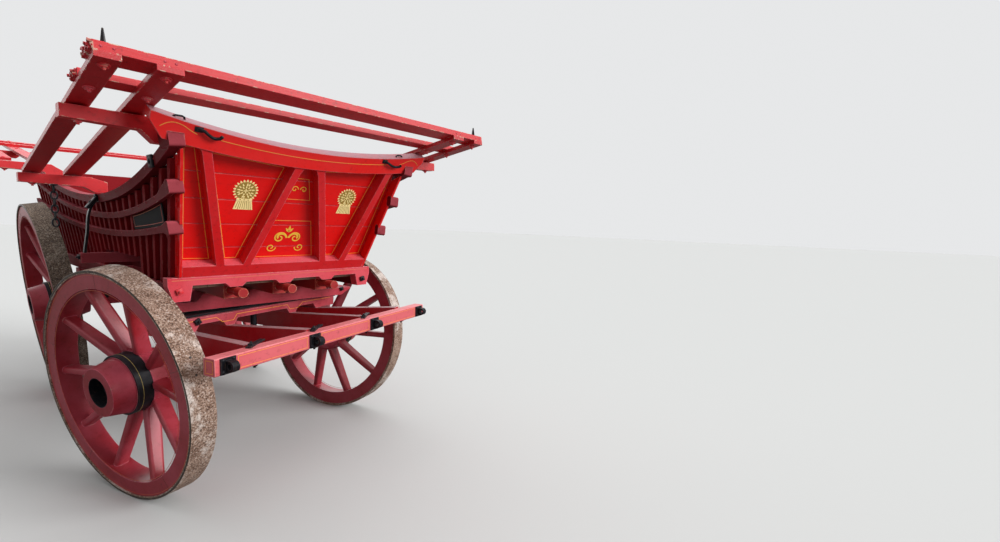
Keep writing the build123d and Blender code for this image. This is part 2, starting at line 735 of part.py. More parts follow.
plank_front_top = meet("top", TOP_RAIL_HIGH, front_edge, RAIL_FRONT)
plank_rear_top = meet("top", TOP_RAIL_HIGH, rear_edge, RAIL_REAR)
with BuildPart() as side_boards:
    with BuildSketch(side_plane(0)):
        with BuildLine():
            sweep_arcs("top", plank_front_top, plank_rear_top, TOP_RAIL_HIGH)
            Polyline(
                on_side(plank_rear_top, swept("top", plank_rear_top, TOP_RAIL_HIGH)),
                on_side(FLOOR_END - 1, SILL_TOP + 5),
                on_side(FLOOR_END - 1, PLANK_FOOT),
                on_side(WAIST_END, PLANK_FOOT),
                on_side(WAIST_END, WAIST_HEAD),
                on_side(WAIST_START, WAIST_HEAD),
                on_side(WAIST_START, PLANK_FOOT),
                on_side(front_edge(PLANK_FOOT), PLANK_FOOT),
                on_side(plank_front_top, swept("top", plank_front_top, TOP_RAIL_HIGH)),
            )
        make_face()
    extrude(amount=PLANK)
    mirror(about=Plane.YZ)
keep(side_boards.part, "side_boards")


def face_line(z):
    """The front face of the leaning front board, in side view."""
    return SILL_FRONT - (z - SILL_TOP) * TAN_LEAN


def spindle_slope(level_y):
    """How far a spindle leans forward for its height: fanned between front board and tail."""
    if level_y < SPINDLE_UPRIGHT_Y:
        return TAN_LEAN * min(1, (SPINDLE_UPRIGHT_Y - level_y) / SPINDLE_FAN)
    return -TAN_TAIL * (level_y - SPINDLE_UPRIGHT_Y) / (FLOOR_END - SPINDLE_UPRIGHT_Y)


def spindle_y(level_y, z):
    return level_y - (z - SPINDLE_LEVEL) * spindle_slope(level_y)


SILL_CLEAR = 6.0                # what stands over the front sill on the flared side
spindle_half = SPINDLE_WIDE / 2
spindle_count = int((FLOOR_END - SPINDLE_FIRST) / SPINDLE_PITCH) + 1
with BuildPart() as spindles:
    for number in range(spindle_count):
        level_y = SPINDLE_FIRST + number * SPINDLE_PITCH
        near_waist = [
            WAIST_START - spindle_half < spindle_y(level_y, z) < WAIST_END + spindle_half
            for z in (PLANK_FOOT, WAIST_HEAD)
        ]
        foot_z = WAIST_HEAD if any(near_waist) else PLANK_FOOT
        if spindle_y(level_y, SILL_TOP) - spindle_half < sill_back:
            foot_z = SILL_TOP + SILL_CLEAR
        head_y = meet("top", TOP_RAIL_HIGH, lambda z: spindle_y(level_y, z), level_y)
        head_ends = (head_y - spindle_half, head_y + spindle_half)
        head_z = min(swept("top", end, TOP_RAIL_HIGH + 1) for end in head_ends)
        foot_y = spindle_y(level_y, foot_z)
        head_y = spindle_y(level_y, head_z)
        with BuildSketch(side_plane(PLANK)):
            with BuildLine():
                Polyline(
                    on_side(foot_y - spindle_half, foot_z), on_side(foot_y + spindle_half, foot_z),
                    on_side(head_y + spindle_half, head_z), on_side(head_y - spindle_half, head_z),
                    close=True,
                )
            make_face()
        extrude(amount=SPINDLE_THICK)
    knee_top = swept("lower", SPINDLE_FIRST, MID_RAIL_HIGH)
    knee_foot = knee_top - KNEE_DROP
    knee_back = spindle_y(SPINDLE_FIRST, knee_top)
    knee_low = spindle_y(SPINDLE_FIRST, knee_foot)
    with BuildSketch(side_plane(PLANK)):
        with BuildLine():
            ThreePointArc(
                on_side(knee_low + spindle_half, knee_foot),
                on_side(knee_back + spindle_half + KNEE_REACH / 4, knee_top - KNEE_DROP / 3),
                on_side(knee_back + spindle_half + KNEE_REACH, knee_top),
            )
            Polyline(
                on_side(knee_back + spindle_half + KNEE_REACH, knee_top),
                on_side(knee_back, knee_top), on_side(knee_low, knee_foot),
                on_side(knee_low + spindle_half, knee_foot),
            )
        make_face()
    extrude(amount=SPINDLE_THICK)
    mirror(about=Plane.YZ)
keep(spindles.part, "spindles")


def swept_rail(rail, high, inner, thick):
    """A long rail outside the spindles, whose front end swells into a rounded knob."""
    knob_y, knob_z, knob_high, knob_long, swell = KNOBS[rail]
    knob_back = knob_y + knob_long
    front = knob_y + KNOB_ROUND
    rear = meet(rail, high / 2, rear_edge, RAIL_REAR) + RAIL_OVERHANG
    low, top = knob_z - knob_high / 2, knob_z + knob_high / 2
    with BuildPart() as part:
        with BuildSketch(side_plane(inner)):
            with BuildLine():
                sweep_arcs(rail, front, rear, 0)
                Line(on_side(rear, swept(rail, rear)), on_side(rear, swept(rail, rear, high)))
                sweep_arcs(rail, front, rear, high)
                Line(on_side(front, swept(rail, front)), on_side(front, swept(rail, front, high)))
            make_face()
        extrude(amount=thick)
        if swell:
            end = knob_back + swell
            with BuildSketch(side_plane(inner)):
                with BuildLine():
                    Polyline(
                        on_side(knob_back - 1, low), on_side(knob_back - 1, top),
                        on_side(end, swept(rail, end, 1)), on_side(end, swept(rail, end, high - 1)),
                        close=True,
                    )
                make_face()
            extrude(amount=thick)
        with BuildSketch(side_plane(KNOB_INNER)) as knob:
            with BuildLine():
                Polyline(
                    on_side(knob_y, low), on_side(knob_back, low),
                    on_side(knob_back, top), on_side(knob_y, top),
                    close=True,
                )
            make_face()
            fillet(knob.vertices().group_by(Axis.Z)[-1], radius=KNOB_ROUND)
        extrude(amount=KNOB_OUTER - KNOB_INNER)
        mirror(about=Plane.YZ)
    return part.part


spindle_face = PLANK + SPINDLE_THICK
top_rails = swept_rail("top", TOP_RAIL_HIGH, PLANK, RAIL_THICK + SPINDLE_THICK)
upper_mid_rails = swept_rail("upper", MID_RAIL_HIGH, spindle_face, RAIL_THICK)
lower_mid_rails = swept_rail("lower", MID_RAIL_HIGH, spindle_face, RAIL_THICK)
keep(top_rails, "top_rails")
keep(upper_mid_rails, "upper_mid_rails")
keep(lower_mid_rails, "lower_mid_rails")

with BuildPart() as side_plate:
    with BuildSketch(side_plane(spindle_face)):
        with BuildLine():
            one_arc("upper", PLATE_START, PLATE_END, MID_RAIL_HIGH + 3)
            Line(
                on_side(PLATE_END, swept("upper", PLATE_END, MID_RAIL_HIGH + 3)),
                on_side(PLATE_END, swept("lower", PLATE_END, -3)),
            )
            one_arc("lower", PLATE_START, PLATE_END, -3)
            Line(
                on_side(PLATE_START, swept("upper", PLATE_START, MID_RAIL_HIGH + 3)),
                on_side(PLATE_START, swept("lower", PLATE_START, -3)),
            )
        make_face()
    extrude(amount=SIDE_PLATE_THICK)
    mirror(about=Plane.YZ, mode=Mode.REPLACE)
keep(side_plate.part, "side_plate")

panel_inside = waist_outside - WAIST_PANEL
with BuildPart() as waist_panels:
    with BuildSketch(Plane.XY.offset(FLOOR_TOP)):
        with BuildLine():
            Polyline(
                (plank_inside, WAIST_START), (waist_outside, WAIST_START + WAIST_RAMP),
                (waist_outside, WAIST_END - WAIST_RAMP), (plank_inside, WAIST_END),
                (plank_inside - WAIST_PANEL, WAIST_END),
                (panel_inside, WAIST_END - WAIST_RAMP),
                (panel_inside, WAIST_START + WAIST_RAMP),
                (plank_inside - WAIST_PANEL, WAIST_START),
                close=True,
            )
        make_face()
    extrude(amount=WAIST_HEAD - FLOOR_TOP)
    with BuildSketch(Plane.XY.offset(WAIST_HEAD)):
        with BuildLine():
            Polyline(
                (SIDE_INSIDE, WAIST_START), (plank_inside - WAIST_PANEL, WAIST_START),
                (panel_inside, WAIST_START + WAIST_RAMP), (panel_inside, WAIST_END - WAIST_RAMP),
                (plank_inside - WAIST_PANEL, WAIST_END), (SIDE_INSIDE, WAIST_END),
                close=True,
            )
        make_face()
    extrude(amount=WAIST_PANEL)
    mirror(about=Plane.YZ)
keep(waist_panels.part, "waist_panels")

with BuildPart() as stay_ledges:
    with BuildSketch(across(LEDGE_Y + LEDGE_DEEP)):
        with Locations(((waist_outside + LEDGE_REACH) / 2, LEDGE_TOP - LEDGE_HIGH / 2)):
            Rectangle(LEDGE_REACH - waist_outside, LEDGE_HIGH)
    extrude(amount=LEDGE_DEEP)
    mirror(about=Plane.YZ)
keep(stay_ledges.part, "stay_ledges")

STAY_THICK = 12.0
# the bowed stay's inner edge, as distance from the middle and height
STAY_BOW = ((699.0, 1284.0), (688.0, 1360.0), (683.0, 1425.0), (672.0, 1492.0), (651.0, 1538.0))
STAY_WIDE = 34.0
stay_y = LEDGE_Y + LEDGE_DEEP / 2
rail_face = spindle_face + RAIL_THICK


def side_x(z, outwards):
    """Distance from the middle of a face that lies outwards from the planks' inner face."""
    return SIDE_INSIDE + outwards / COS_FLARE + (z - SILL_TOP) * SIN_FLARE / COS_FLARE


stay_head = swept("top", stay_y, 6)
stay_bend = swept("top", stay_y, TOP_RAIL_HIGH - 4)
with BuildPart() as side_stays:
    with BuildSketch(across(stay_y + STAY_WIDE / 2)):
        with BuildLine():
            foot_x = LEDGE_REACH - 30
            bend_x = side_x(stay_bend, rail_face + 1)
            head_x = side_x(stay_head, rail_face + 1)
            Spline((foot_x, LEDGE_TOP), *STAY_BOW, (bend_x, stay_bend))
            Polyline(
                (bend_x, stay_bend), (head_x, stay_head),
                (head_x + STAY_THICK, stay_head), (bend_x + STAY_THICK, stay_bend),
            )
            Spline(
                (bend_x + STAY_THICK, stay_bend),
                *[(x + STAY_THICK, z) for x, z in reversed(STAY_BOW)],
                (foot_x + STAY_THICK, LEDGE_TOP),
            )
            Line((foot_x + STAY_THICK, LEDGE_TOP), (foot_x, LEDGE_TOP))
        make_face()
    extrude(amount=STAY_WIDE)
    mirror(about=Plane.YZ)
keep(side_stays.part, "side_stays")

# Harvest frames: long boards and cross bars on a slope, carried by arms over the sides
def rave_plane(bar_y, top, slope, way):
    """Top of a frame's long boards: first axis +X, second axis along the slope from the end bar."""
    tilt = math.radians(slope)
    along = Vector(0, way * math.cos(tilt), -math.sin(tilt))
    return Plane(origin=(0, bar_y, top), x_dir=(way, 0, 0), z_dir=Vector(way, 0, 0).cross(along))


def frame_of(bar_y, end_y, top, slope, way, prefix):
    plane = rave_plane(bar_y, top, slope, way)
    length = abs(end_y - bar_y) / math.cos(math.radians(slope))
    with BuildPart() as raves:
        with BuildSketch(plane.offset(-RAVE_THICK)):
            for inner, outer in RAVES:
                for side in (-1, 1):
                    with Locations((side * (inner + outer) / 2, length / 2)):
                        Rectangle(outer - inner, length)
        extrude(amount=RAVE_THICK)
    keep(raves.part, prefix + "_harvest_raves")
    with BuildPart() as bars:
        for near, wide, thick in ((0, BAR_A_WIDE, BAR_A_THICK), (BAR_B_BACK, BAR_B_WIDE, BAR_B_THICK)):
            with BuildSketch(plane):
                with Locations((0, near + wide / 2)):
                    Rectangle(2 * FRAME_HALF, wide)
            extrude(amount=thick)
    keep(bars.part, prefix + "_harvest_bars")
    return raves.part


def rave_under(bar_y, top, slope, y):
    """Height of the long boards' underside at y."""
    tilt = math.radians(slope)
    return top - RAVE_THICK / math.cos(tilt) - abs(y - bar_y) * math.tan(tilt)


front_raves = frame_of(
    FRONT_BAR_Y, FRONT_RAVE_END, FRONT_RAVE_TOP, FRONT_RAVE_SLOPE, 1, "front"
)
frame_of(HIND_BAR_Y, HIND_RAVE_END, HIND_RAVE_TOP, HIND_RAVE_SLOPE, -1, "hind")

# Front board, drawn on its leaning face: first axis +X, second axis up the slope
COS_LEAN = math.cos(math.radians(BOARD_LEAN))
SIN_LEAN = math.sin(math.radians(BOARD_LEAN))


def board_plane(behind):
    return Plane(
        origin=(0, SILL_FRONT, SILL_TOP), x_dir=(1, 0, 0), z_dir=(0, -COS_LEAN, -SIN_LEAN)
    ).offset(-behind)


def board_half(up):
    """Half-width of the front board between the corner boards, at a distance up the slope."""
    return side_x(SILL_TOP + up * COS_LEAN, CORNER_INNER) - 0.5


head_sag_radius = (HEAD_HALF ** 2 + (HEAD_END - HEAD_MIDDLE) ** 2) / (2 * (HEAD_END - HEAD_MIDDLE))


def head_edge(x, below=0.0):
    """Upper edge of the sagging head rail at x, less below."""
    return HEAD_MIDDLE + head_sag_radius - math.sqrt(head_sag_radius ** 2 - x * x) - below


with BuildPart() as front_boards:
    with BuildSketch(board_plane(board_deep)):
        with BuildLine():
            foot = board_half(0)
            shoulder_up = head_edge(board_half(FRONT_BOARD_TOP), HEAD_HIGH / 2)
            shoulder = board_half(shoulder_up)
            Polyline((-shoulder, shoulder_up), (-foot, 0), (foot, 0), (shoulder, shoulder_up))
            ThreePointArc(
                (shoulder, shoulder_up), (0, head_edge(0, HEAD_HIGH / 2)), (-shoulder, shoulder_up)
            )
        make_face()
        plank_pitch = FRONT_BOARD_TOP / FRONT_PLANKS
        for number in range(1, FRONT_PLANKS):
            with Locations((0, number * plank_pitch)):
                Rectangle(2 * HEAD_HALF, BOARD_GAP, mode=Mode.SUBTRACT)
    extrude(amount=PLANK)
keep(front_boards.part, "front_boards")

with BuildPart() as head_rail:
    with BuildSketch(board_plane(POST_DEEP)):
        with BuildLine():
            neck, neck_up = HEAD_NECK
            hollow, hollow_up = HEAD_HOLLOW
            tip_up = HEAD_END - HEAD_TIP
            ThreePointArc((-HEAD_HALF, HEAD_END), (0, HEAD_MIDDLE), (HEAD_HALF, HEAD_END))
            Line((HEAD_HALF, HEAD_END), (HEAD_HALF, tip_up))
            ThreePointArc((HEAD_HALF, tip_up), (hollow, hollow_up), (neck, neck_up))
            ThreePointArc((neck, neck_up), (0, HEAD_MIDDLE - HEAD_HIGH), (-neck, neck_up))
            ThreePointArc((-neck, neck_up), (-hollow, hollow_up), (-HEAD_HALF, tip_up))
            Line((-HEAD_HALF, tip_up), (-HEAD_HALF, HEAD_END))
        make_face()
    extrude(amount=POST_DEEP + HEAD_PROUD)
    add([top_rails, front_raves], mode=Mode.SUBTRACT)
keep(head_rail.part, "head_rail")

# foot and head of each leaning post's middle line, as x and distance up the slope
POSTS = (
    ((357.0, 50.0), (509.0, 690.0)),
    ((229.0, 50.0), (62.0, 664.0)),
)


hollow = SPANDREL * (1 - math.sqrt(0.5))
with BuildPart() as front_frame:
    with BuildSketch(board_plane(POST_DEEP)):
        foot, foot_top = board_half(0), board_half(FRONT_RAIL_HIGH)
        with BuildLine():
            Polyline(
                (-foot, 0), (foot, 0), (foot_top, FRONT_RAIL_HIGH), (-foot_top, FRONT_RAIL_HIGH),
                close=True,
            )
        make_face()
        for foot_point, head_point in POSTS:
            half = POST_WIDE / 2
            lean = (head_point[0] - foot_point[0]) / (head_point[1] - foot_point[1])
            under = head_edge(head_point[0], HEAD_HIGH)
            head_up = under + HEAD_HIGH / 2
            head_x = head_point[0] + (head_up - head_point[1]) * lean
            with BuildLine():
                Polyline(
                    (foot_point[0] - half, foot_point[1]), (foot_point[0] + half, foot_point[1]),
                    (head_x + half, head_up), (head_x - half, head_up),
                    close=True,
                )
            make_face()
            # a small web with a hollow edge on each side, between the post and the head rail
            for way in (-1, 1):
                x = head_point[0] + way * (half - 4)
                with BuildLine():
                    ThreePointArc(
                        (x, under - SPANDREL), (x + way * hollow, under - hollow),
                        (x + way * SPANDREL, under),
                    )
                    Polyline(
                        (x + way * SPANDREL, under), (x + way * SPANDREL, under + SPANDREL),
                        (x - way * half, under + SPANDREL), (x - way * half, under - SPANDREL),
                        (x, under - SPANDREL),
                    )
                make_face()
        mirror(about=Plane.YZ)
    extrude(amount=POST_DEEP)
    add(head_rail.part, mode=Mode.SUBTRACT)
keep(front_frame.part, "front_frame")

# Corner boards: the sides' thin front edges, between which the front board stands
corner_front_top = meet("top", TOP_RAIL_HIGH, face_line, RAIL_FRONT)
corner_foot = SILL_TOP + SILL_CLEAR / 2
knob_ups = [(SILL_TOP, 0)] + [(middle, high) for _, middle, high, _, _ in KNOBS.values()]
knob_ups.sort()
with BuildPart() as corner_boards:
    with BuildSketch(side_plane(CORNER_INNER)):
        with BuildLine():
            Polyline(
                on_side(face_line(corner_foot), corner_foot),
                on_side(front_edge(corner_foot), corner_foot),
                on_side(plank_front_top, swept("top", plank_front_top, TOP_RAIL_HIGH)),
                on_side(corner_front_top, swept("top", corner_front_top, TOP_RAIL_HIGH)),
                close=True,
            )
        make_face()
    extrude(amount=PLANK - CORNER_INNER)
    with BuildSketch(board_plane(CHAMFER_BACK)):
        for (low_z, low_high), (high_z, high_high) in zip(knob_ups, knob_ups[1:]):
            first = (low_z - SILL_TOP + low_high / 2) / COS_LEAN + CHAMFER_STOP
            last = (high_z - SILL_TOP - high_high / 2) / COS_LEAN - CHAMFER_STOP
            edges = [side_x(SILL_TOP + up * COS_LEAN, PLANK) for up in (first, last)]
            middle = (sum(edges) / 2 - CHAMFER_DEEP, (first + last) / 2)
            with BuildLine():
                ThreePointArc((edges[0], first), middle, (edges[1], last))
                Polyline(
                    (edges[1], last), (edges[1] + PLANK, last),
                    (edges[0] + PLANK, first), (edges[0], first),
                )
            make_face()
    extrude(amount=CHAMFER_BACK, mode=Mode.SUBTRACT)
    mirror(about=Plane.YZ)
    add([top_rails, upper_mid_rails, lower_mid_rails], mode=Mode.SUBTRACT)
keep(corner_boards.part, "corner_boards")

# Tailboard, hinged along its foot
TAIL_CLEAR = 8.0
TAIL_HIGH = 700.0
TAIL_BATTEN = 30.0
TAIL_BATTEN_WIDE = 60.0
TAIL_BATTEN_PITCH = 267.0
TAIL_BATTENS = 4
TAIL_HINGE_OUT = 14.0            # from the sill's rear face to the hinge line
TAIL_HINGE_Y = FLOOR_END + TAIL_SILL_DEEP + TAIL_HINGE_OUT
TAIL_HINGE_Z = SILL_TOP + 4.0
TAIL_KNUCKLE_R = 9.0
TAIL_KNUCKLE = 60.0
TAIL_PIN_R = 5.0
TAIL_PIN_CLEAR = 0.25
TAIL_PIN_HEAD_R = 8.0
TAIL_PIN_HEAD = 4.0
TAIL_STRAP_THICK = 8.0
TAIL_STRAP_WIDE = 40.0
TAIL_STRAP_LONG = 330.0
TAIL_LUG = 12.0
TAIL_LUG_GAP = 0.5
TAIL_PLATE_THICK = 6.0
TAIL_PLATE_TOP = 1150.0
TAIL_PLATE_HIGH = 84.0
tail_side = SIN_FLARE / COS_FLARE * math.cos(math.radians(TAIL_LEAN))
tail_foot_half = SIDE_INSIDE - TAIL_CLEAR
tail_plane = Plane(
    origin=(0, FLOOR_END + TAIL_SILL_DEEP, SILL_TOP + 6), x_dir=(-1, 0, 0),
    z_dir=(0, math.cos(math.radians(TAIL_LEAN)), -math.sin(math.radians(TAIL_LEAN))),
)
with BuildPart() as tailboard:
    with BuildSketch(tail_plane.offset(-TAIL_BATTEN - PLANK)):
        with BuildLine():
            Polyline(
                (-tail_foot_half, 0), (tail_foot_half, 0),
                (tail_foot_half + TAIL_HIGH * tail_side, TAIL_HIGH),
                (-tail_foot_half - TAIL_HIGH * tail_side, TAIL_HIGH),
                close=True,
            )
        make_face()
    extrude(amount=PLANK)
    with BuildSketch(tail_plane.offset(-TAIL_BATTEN)):
        for number in range(TAIL_BATTENS):
            x = (number - (TAIL_BATTENS - 1) / 2) * TAIL_BATTEN_PITCH
            with Locations((x, TAIL_HIGH / 2)):
                Rectangle(TAIL_BATTEN_WIDE, TAIL_HIGH)
        for up in (TAIL_BATTEN_WIDE / 2, TAIL_HIGH - TAIL_BATTEN_WIDE / 2):
            with Locations((0, up)):
                Rectangle(2 * tail_foot_half, TAIL_BATTEN_WIDE)
    extrude(amount=TAIL_BATTEN)
keep(tailboard.part, "tailboard")

# Hinges of the tailboard: straps with knuckles, and pins in lugs on the tail sill
sill_back = FLOOR_END + TAIL_SILL_DEEP
hinge_line = (TAIL_HINGE_Y, TAIL_HINGE_Z)
hinge_places = [side * (TAIL_BATTENS - 1) / 2 * TAIL_BATTEN_PITCH for side in (-1, 1)]
with BuildPart() as tail_hinges:
    with BuildSketch(tail_plane):
        for x in hinge_places:
            with Locations((x, TAIL_STRAP_LONG / 2)):
                Rectangle(TAIL_STRAP_WIDE, TAIL_STRAP_LONG)
    extrude(amount=TAIL_STRAP_THICK)
    for x in hinge_places:
        with BuildSketch(Plane.YZ.offset(x - TAIL_KNUCKLE / 2)):
            with Locations(hinge_line):
                Circle(TAIL_KNUCKLE_R)
        extrude(amount=TAIL_KNUCKLE)
        with BuildSketch(Plane.YZ.offset(x - TAIL_KNUCKLE / 2)):
            with Locations(hinge_line):
                Circle(TAIL_PIN_R + TAIL_PIN_CLEAR)
        extrude(amount=TAIL_KNUCKLE, mode=Mode.SUBTRACT)
keep(tail_hinges.part, "tail_hinges")

lug_end = TAIL_KNUCKLE / 2 + TAIL_LUG_GAP + TAIL_LUG
with BuildPart() as tail_hinge_pins:
    for x in hinge_places:
        with BuildSketch(Plane.XZ.offset(-sill_back)):
            with Locations((x, TAIL_PLATE_TOP - TAIL_PLATE_HIGH / 2)):
                Rectangle(2 * lug_end, TAIL_PLATE_HIGH)
        extrude(amount=-TAIL_PLATE_THICK)
        for start in (x - lug_end, x + lug_end - TAIL_LUG):
            with BuildSketch(Plane.YZ.offset(start)):
                with BuildLine():
                    Polyline(
                        (sill_back, TAIL_PLATE_TOP - 10), (sill_back + TAIL_PLATE_THICK, TAIL_PLATE_TOP - 10),
                        (TAIL_HINGE_Y + TAIL_KNUCKLE_R, TAIL_HINGE_Z - TAIL_KNUCKLE_R),
                        (TAIL_HINGE_Y + TAIL_KNUCKLE_R, TAIL_HINGE_Z), hinge_line,
                        (TAIL_HINGE_Y - TAIL_KNUCKLE_R, TAIL_HINGE_Z),
                        (sill_back, TAIL_HINGE_Z - TAIL_KNUCKLE_R),
                        close=True,
                    )
                make_face()
                with Locations(hinge_line):
                    Circle(TAIL_KNUCKLE_R)
            extrude(amount=TAIL_LUG)
        for start, length, radius in (
            (x - lug_end - TAIL_PIN_HEAD, 2 * (lug_end + TAIL_PIN_HEAD), TAIL_PIN_R),
            (x - lug_end - TAIL_PIN_HEAD, TAIL_PIN_HEAD, TAIL_PIN_HEAD_R),
            (x + lug_end, TAIL_PIN_HEAD, TAIL_PIN_HEAD_R),
        ):
            with BuildSketch(Plane.YZ.offset(start)):
                with Locations(hinge_line):
                    Circle(radius)
            extrude(amount=length)
keep(tail_hinge_pins.part, "tail_hinge_pins")

# Arms that carry the harvest frames over the sides
ARM_SEAT = 0.5
# name: rear face of each pair of arms, the frame that it carries
arm_table = {
    "front": ((-594.0, 672.0), FRONT_BAR_Y, FRONT_RAVE_TOP, FRONT_RAVE_SLOPE),
    "hind": ((3040.0, 1935.0), HIND_BAR_Y, HIND_RAVE_TOP, HIND_RAVE_SLOPE),
}
for prefix, (places, bar_y, top, slope) in arm_table.items():
    with BuildPart() as arms:
        for back in places:
            ys = (back - ARM_DEEP, back)
            seat = max(swept("top", y) for y in ys) + ARM_SEAT
            carry = min(rave_under(bar_y, top, slope, y) for y in ys) - ARM_SEAT
            inner_x = SIDE_INSIDE + (seat - SILL_TOP) * SIN_FLARE / COS_FLARE + PLANK
            root_x = inner_x + RAIL_THICK + SPINDLE_THICK + 20
            with BuildSketch(across(back)):
                with BuildLine():
                    Polyline(
                        (inner_x, seat), (root_x, seat),
                        (root_x + ARM_STEP, carry - ARM_END_HIGH - 8),
                        (ARM_HALF, carry - ARM_END_HIGH), (ARM_HALF, carry),
                        (RAVES[0][0] - 30, carry), (inner_x, (seat + carry) / 2 + 20),
                        close=True,
                    )
                make_face()
            extrude(amount=ARM_DEEP)
        mirror(about=Plane.YZ)
    keep(arms.part, prefix + "_harvest_arms")

# Placing: the fore-carriage takes its parked turn, then the origin moves under the whole box
turn = Location((0, 0, 0), (0, 0, PARKED_TURN))
placed = {name: turn * part if turned else part for name, (part, turned) in kept.items()}
boxes = [part.bounding_box() for part in placed.values()]
low = [min(corner) for corner in zip(*[tuple(box.min) for box in boxes])]
high = [max(corner) for corner in zip(*[tuple(box.max) for box in boxes])]
shift = Vector(-(low[0] + high[0]) / 2, -(low[1] + high[1]) / 2, -low[2])
os.makedirs("parts", exist_ok=True)
for name, part in placed.items():
    final = Location(shift) * part
    final.label = name
    export_step(final, "parts/" + name + ".step")


def say(name, point, turned=False):
    """Print a place of a joint or mount in the final frame, in metres."""
    there = turn * Location(point) if turned else Location(point)
    spot = there.position + shift
    print(name, round(spot.X / 1000, 6), round(spot.Y / 1000, 6), round(spot.Z / 1000, 6))


print("box", low, high)
say("shift", (0, 0, 0))
say("kingpin", (0, 0, PILLOW_TOP))
for side, name in ((-1, "left"), (1, "right")):
    say("front_" + name, (side * FRONT_HALF_TRACK, 0, front_hub_z), True)
    say("hind_" + name, (side * HIND_HALF_TRACK, WHEELBASE, hind_hub_z))
for x in eye_places:
    say("eye", (x, BAR_FRONT - EYE_REACH, bar_middle), True)
say("tail_hinge", (0, TAIL_HINGE_Y, TAIL_HINGE_Z))
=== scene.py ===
import json
import math
import random
from contextlib import contextmanager

import bmesh
import bpy
from mathutils import Matrix, Vector


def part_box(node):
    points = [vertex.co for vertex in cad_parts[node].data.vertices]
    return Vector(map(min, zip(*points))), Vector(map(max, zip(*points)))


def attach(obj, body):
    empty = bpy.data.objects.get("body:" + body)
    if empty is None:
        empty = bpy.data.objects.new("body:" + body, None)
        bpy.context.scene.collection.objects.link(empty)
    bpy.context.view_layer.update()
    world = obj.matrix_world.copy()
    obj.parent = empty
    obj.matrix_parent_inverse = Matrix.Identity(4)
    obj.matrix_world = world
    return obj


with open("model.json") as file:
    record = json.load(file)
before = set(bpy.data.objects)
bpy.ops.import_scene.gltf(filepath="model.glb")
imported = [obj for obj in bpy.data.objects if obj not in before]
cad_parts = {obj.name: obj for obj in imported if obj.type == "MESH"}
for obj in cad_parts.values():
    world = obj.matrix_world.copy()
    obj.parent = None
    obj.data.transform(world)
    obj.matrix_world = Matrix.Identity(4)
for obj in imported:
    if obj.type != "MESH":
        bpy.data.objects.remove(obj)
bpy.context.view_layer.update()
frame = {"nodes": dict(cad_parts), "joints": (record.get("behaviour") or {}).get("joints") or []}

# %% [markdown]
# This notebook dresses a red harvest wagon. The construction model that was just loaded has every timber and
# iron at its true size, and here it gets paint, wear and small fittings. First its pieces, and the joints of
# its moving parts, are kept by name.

cad_nodes = frame["nodes"]
joints = {joint["name"]: joint for joint in frame["joints"]}

# %% [markdown]
# The wagon was drawn round its kingpin, the iron pin on which the front axle turns.
# Two small helpers turn the drawing's millimetres into places in the scene: one for
# the body, and one for the fore-carriage, which stands turned a little to its left. A
# third gives a direction of either drawing, and a fourth adds an object to the scene.

# %% Places on the body and on the fore-carriage
PARKED_TURN = 15.4
pin_low, pin_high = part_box("kingpin")
PIN = Vector(((pin_low.x + pin_high.x) / 2, (pin_low.y + pin_high.y) / 2, 0))
turn = Matrix.Rotation(math.radians(PARKED_TURN), 3, "Z")


def on_body(x, y, z):
    return PIN + Vector((x, y, z)) / 1000


def on_carriage(x, y, z):
    return PIN + turn @ (Vector((x, y, z)) / 1000)


def heading(places, x, y, z):
    return (places(x, y, z) - places(0, 0, 0)).normalized()


def put_in_scene(name, data):
    made = bpy.data.objects.new(name, data)
    bpy.context.scene.collection.objects.link(made)
    return made


print("kingpin at", [round(v, 4) for v in PIN])

# %% [markdown]
# The camera stands at the wagon's front corner at eye height with a wide lens, tipped
# slightly down and to one side, so that the near wheel looks large. A wide lens close
# by gives the strong perspective; a long lens from far off would flatten it.

# %% Camera
CAMERA_AT = (-1351.07, -3144.77, 1487.15)
CAMERA_ANGLES = (84.2305, -1.7761, -51.3201)
camera_data = bpy.data.cameras.new("shed_view")
camera_data.lens = 16.694
camera_data.sensor_width = 36.0
camera_data.clip_start = 0.05
camera = put_in_scene("shed_view", camera_data)
camera.location = on_body(*CAMERA_AT)
camera.rotation_euler = [math.radians(angle) for angle in CAMERA_ANGLES]
bpy.context.scene.camera = camera
bpy.context.scene.view_settings.view_transform = "Standard"
print("camera at", [round(v, 3) for v in camera.location])


# %% [markdown]
# Colours are given as the 0 to 255 values of a paint chart. Shaders work with linear light, so each value is
# converted once. The other helpers add a shader node and wire its inputs in one line, which keeps the
# materials below short. A socket knows the node tree that it belongs to, so the sums and noises find their
# tree by themselves.

# %% Colour and node helpers
def paint(red, green, blue):
    def channel(value):
        value /= 255
        return value / 12.92 if value <= 0.04045 else ((value + 0.055) / 1.055) ** 2.4

    return (channel(red), channel(green), channel(blue), 1.0)


def fill(node, inputs):
    for key, value in inputs.items():
        if isinstance(value, bpy.types.NodeSocket):
            node.id_data.links.new(value, node.inputs[key])
        else:
            node.inputs[key].default_value = value


def add_node(tree, kind, inputs=None, **settings):
    node = tree.nodes.new("ShaderNode" + kind)
    for name, value in settings.items():
        setattr(node, name, value)
    fill(node, inputs or {})
    return node


def combine(operation, first, second, clamp=False):
    node = add_node(first.id_data, "Math", {0: first, 1: second}, operation=operation)
    node.use_clamp = clamp
    return node.outputs[0]


def times(first, second, clamp=False):
    return combine("MULTIPLY", first, second, clamp)


def plus(first, second, clamp=False):
    return combine("ADD", first, second, clamp)


def between(value, low, high, to_low=0.0, to_high=1.0):
    sockets = {"Value": value, "From Min": low, "From Max": high, "To Min": to_low, "To Max": to_high}
    return add_node(value.id_data, "MapRange", sockets).outputs[0]


def mix_colour(factor, first, second):
    sockets = {0: factor, 6: first, 7: second}
    return add_node(factor.id_data, "Mix", sockets, data_type="RGBA").outputs[2]


